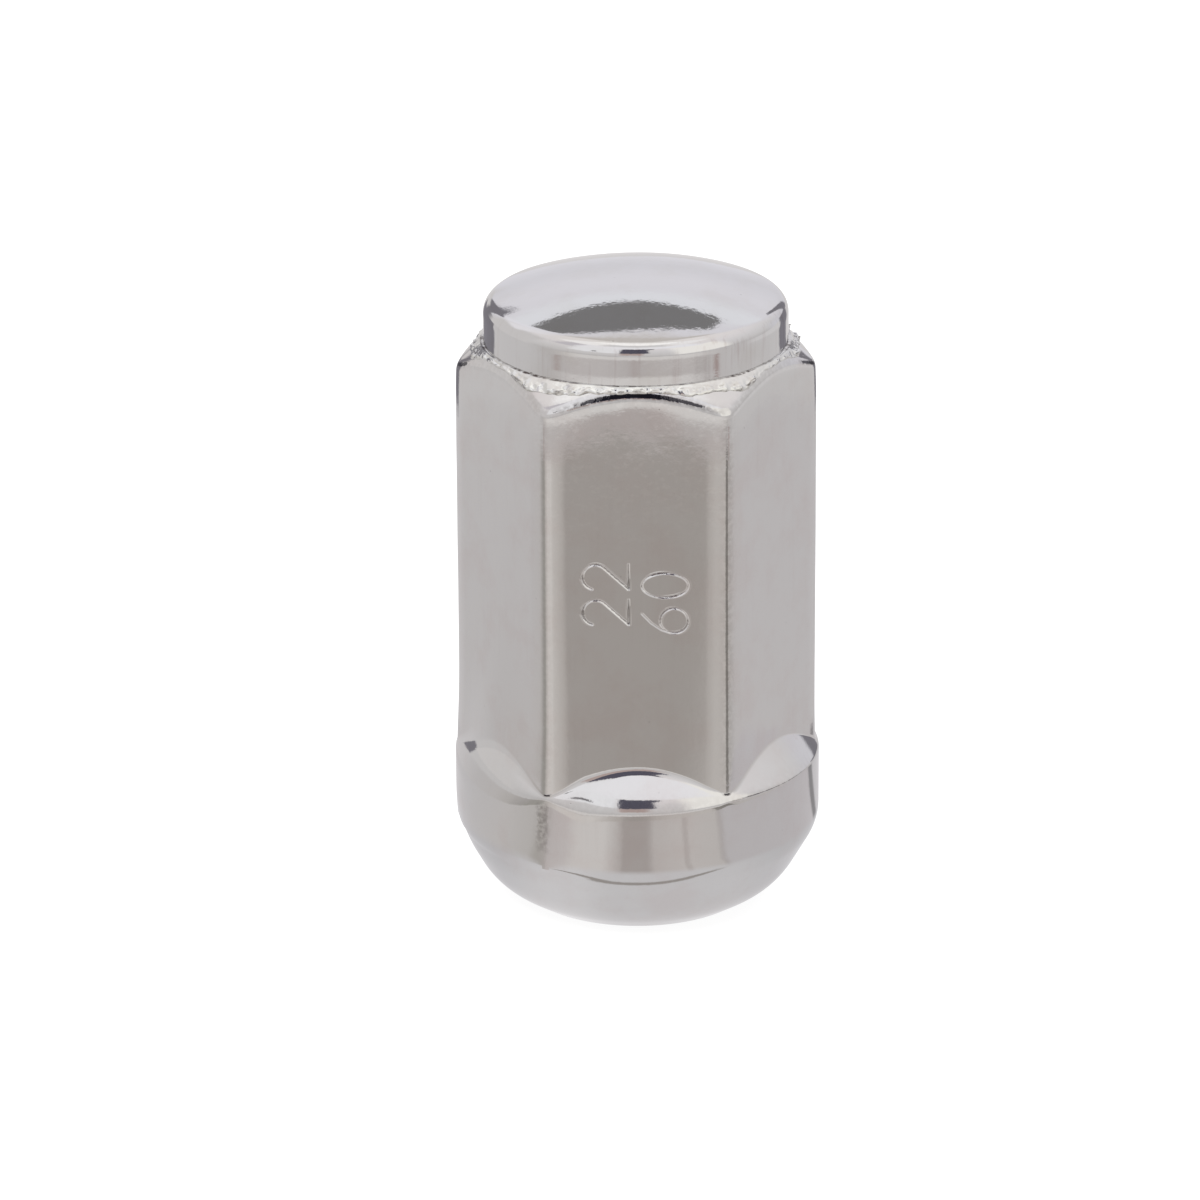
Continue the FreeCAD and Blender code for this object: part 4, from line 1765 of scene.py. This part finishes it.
@dataclass(frozen=True)
class Studio:
    """Plain pale floor, white surroundings and soft light, as the plating mirrors them.

    Directions are given by azimuth (0 in front of the nut, 90 to its right) and elevation in degrees.
    """

    floor_half_size: float = 1.2
    floor_depth: float = 0.00005
    floor: MirroredFloor = MirroredFloor()
    floor_glow: float = 0.90
    floor_shade: float = 0.18
    floor_paper: float = 0.8
    lamps: tuple[Lamp, ...] = (
        Lamp("key_light", (-0.25, -0.35, 0.75), 0.50, 5.0),
        Lamp("fill_light", (0.45, 0.30, 0.70), 0.60, 4.0),
    )
    sky: tuple[tuple[float, Tone], ...] = (
        (-30, (0.72, 0.70, 0.70)),
        (0, (0.74, 0.72, 0.72)),
        (9, (0.85, 0.83, 0.83)),
        (26, (0.94, 0.92, 0.93)),
        (46, (1.06, 1.02, 1.03)),
        (68, (1.12, 1.07, 1.05)),
        (90, (1.00, 0.97, 0.94)),
    )
    cards: tuple[Card, ...] = (
        # Bright wall behind the nut, with a dark oval that the dome mirrors
        Card(180, 42, -40, 58, (0.99, 0.975, 1.03), 10, 6),
        Card(180, 60, -40, 17, (0.86, 0.85, 0.90), 10, 9),
        Card(180, 36, 56, 82, (0.79, 0.75, 0.72), 6, 3),
        Card(182, 40, 33, 42, (1.05, 1.06, 1.11), 6, 3),
        Card(-146, 9, 30, 56, (1.10, 1.09, 1.15), 5, 6),
        Card(182.5, 20.0, 38.6, 53.6, (0.27, 0.265, 0.27), 1.0, 0.6, (3.0, 5.0)),
        # Dark screens far to the left and right, which draw the nut's outer edges
        Card(-154, 9, -40, 29, SCREEN, 1.0, 1.0),
        Card(-146, 10, -40, 10, SCREEN, 1.5, 2),
        Card(-162, 7, -1, 10, (0.80, 0.78, 0.78), 2, 2),
        Card(144, 9, -40, 4, SCREEN, 1.5, 1.5),
        Card(153.5, 4.5, -5, 29, SCREEN, 1.0, 1.0),
        # Left of the nut
        Card(-112, 28, -40, 42, (0.85, 0.825, 0.82), 6, 6),
        Card(-128, 12, 31, 56, (1.12, 1.10, 1.14), 6, 4),
        # Overhead and in front, which the shoulder mirrors
        Card(0, 95, 72, 100, (1.42, 1.40, 1.38), 8, 1.5),
        Card(-70, 28, 57, 73, (1.30, 1.28, 1.28), 8, 2),
        Card(74, 22, 60, 73, (1.22, 1.20, 1.20), 8, 2),
        Card(0, 40, 60, 72, (0.93, 0.92, 0.93), 8, 1.5),
        Card(-62, 15, 38, 58, (0.80, 0.77, 0.82), 6, 2),
        # In front and to the right, which the ledges and the rounded edges mirror
        Card(52, 22, 4, 46, (1.24, 1.21, 1.16), 6, 3),
        Card(-34, 20, 20, 48, (1.16, 1.16, 1.19), 5, 2),
        Card(2, 57, 48, 60, (1.18, 1.17, 1.21), 6, 1.2, (-7.0, 0.0)),
        # Dark camera in front of the nut, a reddish glint below it and a small dark spot to its left
        Card(-3, 9, 8, 20, (0.62, 0.50, 0.47), 3, 2),
        Card(5, 11, 40, 46.5, (0.15, 0.145, 0.18), 1.5, 0.8, (3.0, 0.0)),
        Card(-1, 11.5, 19, 46.5, (0.13, 0.125, 0.165), 1.5, 0.8),
        Card(-33, 2.0, 24, 29, (0.27, 0.26, 0.27), 1, 1),
    )

    def build(self) -> None:
        """Builds the world, the floor and the lamps."""
        self._build_world()
        self._build_floor()
        for lamp in self.lamps:
            lamp.build()

    def _build_world(self) -> None:
        """World that is white to the camera, and to the plating a studio with light and dark parts."""
        world = bpy.data.worlds.new("studio_world")
        bpy.context.scene.world = world
        world.use_nodes = True
        world.cycles.sampling_method = "NONE"
        tree = world.node_tree
        tree.nodes.clear()
        wiring = Wiring(tree)
        azimuth, elevation = directions(wiring, wiring.node("ShaderNodeTexCoord").outputs["Generated"])
        lowest, highest = self.sky[0][0], self.sky[-1][0]
        tone = by_angle(wiring, elevation, self.sky, lowest, highest)
        for card in self.cards:
            tone = card.over(wiring, azimuth, elevation, tone)
        seen = wiring.node("ShaderNodeLightPath").outputs["Is Camera Ray"]
        studio = wiring.node("ShaderNodeBackground", inputs={"Color": tone, "Strength": 1.0})
        white = wiring.node("ShaderNodeBackground", inputs={"Color": WHITE, "Strength": 1.0})
        shown = wiring.node("ShaderNodeMixShader", inputs={0: seen, 1: studio.outputs[0], 2: white.outputs[0]})
        output = wiring.node("ShaderNodeOutputWorld")
        wiring.feed(output.inputs["Surface"], shown.outputs[0])

    def _build_floor(self) -> None:
        """Flat floor: white to the camera with a soft shadow, and pale grey where the plating mirrors it."""
        size = self.floor_half_size
        mesh = bpy.data.meshes.new("floor")
        corners = [(-size, -size, 0), (size, -size, 0), (size, size, 0), (-size, size, 0)]
        mesh.from_pydata(corners, [], [(0, 1, 2, 3)])
        mesh.materials.append(self._floor_material())
        floor = bpy.data.objects.new("floor", mesh)
        bpy.context.scene.collection.objects.link(floor)
        floor.location.z = -self.floor_depth

    def _floor_material(self) -> bpy.types.Material:
        """Material of the floor.

        The camera sees it glow almost white, dimmed where the nut's shadow takes away the rest. The plating
        sees the mirrored tone, and all other light meets plain paper.
        """
        made = bpy.data.materials.new("floor_paper")
        made.use_nodes = True
        tree = made.node_tree
        tree.nodes.clear()
        wiring = Wiring(tree)
        tone = self.floor.tone(wiring, wiring.node("ShaderNodeTexCoord").outputs["Object"])
        shade, paper = ((value, value, value, 1.0) for value in (self.floor_shade, self.floor_paper))
        mirrored = wiring.node("ShaderNodeEmission", inputs={"Color": tone, "Strength": 1.0}).outputs[0]
        lit = {"Color": WHITE, "Strength": self.floor_glow}
        glow = wiring.node("ShaderNodeEmission", inputs=lit).outputs[0]
        shaded = wiring.node("ShaderNodeBsdfDiffuse", inputs={"Color": shade}).outputs[0]
        plain = wiring.node("ShaderNodeBsdfDiffuse", inputs={"Color": paper}).outputs[0]
        seen = wiring.node("ShaderNodeAddShader", inputs={0: glow, 1: shaded}).outputs[0]
        path = wiring.node("ShaderNodeLightPath").outputs
        straight = wiring.math("MAXIMUM", path["Is Camera Ray"], path["Is Transmission Ray"])
        shown = wiring.node("ShaderNodeMixShader", inputs={0: straight, 1: plain, 2: seen}).outputs[0]
        bounced = wiring.math("SUBTRACT", 1.0, path["Is Camera Ray"])
        glossy = wiring.math("MULTIPLY", path["Is Glossy Ray"], bounced)
        whole = wiring.node("ShaderNodeMixShader", inputs={0: glossy, 1: shown, 2: mirrored}).outputs[0]
        output = wiring.node("ShaderNodeOutputMaterial")
        wiring.feed(output.inputs["Surface"], whole)
        return made


@dataclass(frozen=True)
class ProductCamera:
    """Camera of the photograph: it looks down at the nut from the front."""

    distance: float = 480.0
    elevation: float = 20.403
    height: float = 22.0
    aim_x: float = -2.549
    aim_z: float = 21.118
    roll: float = -0.325
    focal_pixels: float = 6929.327
    frame_pixels: float = 1200.0
    sensor_width: float = 36.0

    def build(self) -> bpy.types.Object:
        """Places the camera on its circle, aims it and turns it by its roll.

        Returns:
            The scene's camera.
        """
        lift = math.radians(self.elevation)
        place = Vector((0, -math.cos(lift) * self.distance, math.sin(lift) * self.distance + self.height))
        ahead = (Vector((self.aim_x, 0, self.aim_z)) - place).normalized()
        level = ahead.cross(Vector((0, 0, 1))).normalized()
        above = level.cross(ahead)
        roll = math.radians(self.roll)
        right = level * math.cos(roll) + above * math.sin(roll)
        up = above * math.cos(roll) - level * math.sin(roll)
        turned = Matrix((right, up, -ahead)).transposed()
        data = bpy.data.cameras.new("product_camera")
        data.sensor_width = self.sensor_width
        data.lens = self.focal_pixels * self.sensor_width / self.frame_pixels
        data.clip_start = 0.01
        data.clip_end = 10.0
        camera = bpy.data.objects.new("product_camera", data)
        bpy.context.scene.collection.objects.link(camera)
        camera.matrix_world = Matrix.Translation(place * MM) @ turned.to_4x4()
        bpy.context.scene.camera = camera
        return camera


def report(piece: bpy.types.Object) -> None:
    """Logs a piece's name and its number of faces."""
    LOG.info("%s: %d faces", piece.name, len(piece.data.polygons))


def main() -> None:
    """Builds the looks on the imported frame."""
    logging.basicConfig(level=logging.INFO, format="%(name)s %(message)s")
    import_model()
    effects = SurfaceEffects()
    finishes = Finishes()
    body = finishes.body.material(effects)
    cap = finishes.cap.material(effects)
    weld = finishes.weld.material(effects)
    tapped = finishes.tapped.material(effects)
    report(ForgedBody().build([body, tapped]))
    report(DomedCap().build([cap, tapped]))
    report(WeldRing().build([weld]))
    Studio().build()
    ProductCamera().build()
    bpy.context.scene.view_settings.view_transform = "Standard"


if __name__ == "__main__":
    main()
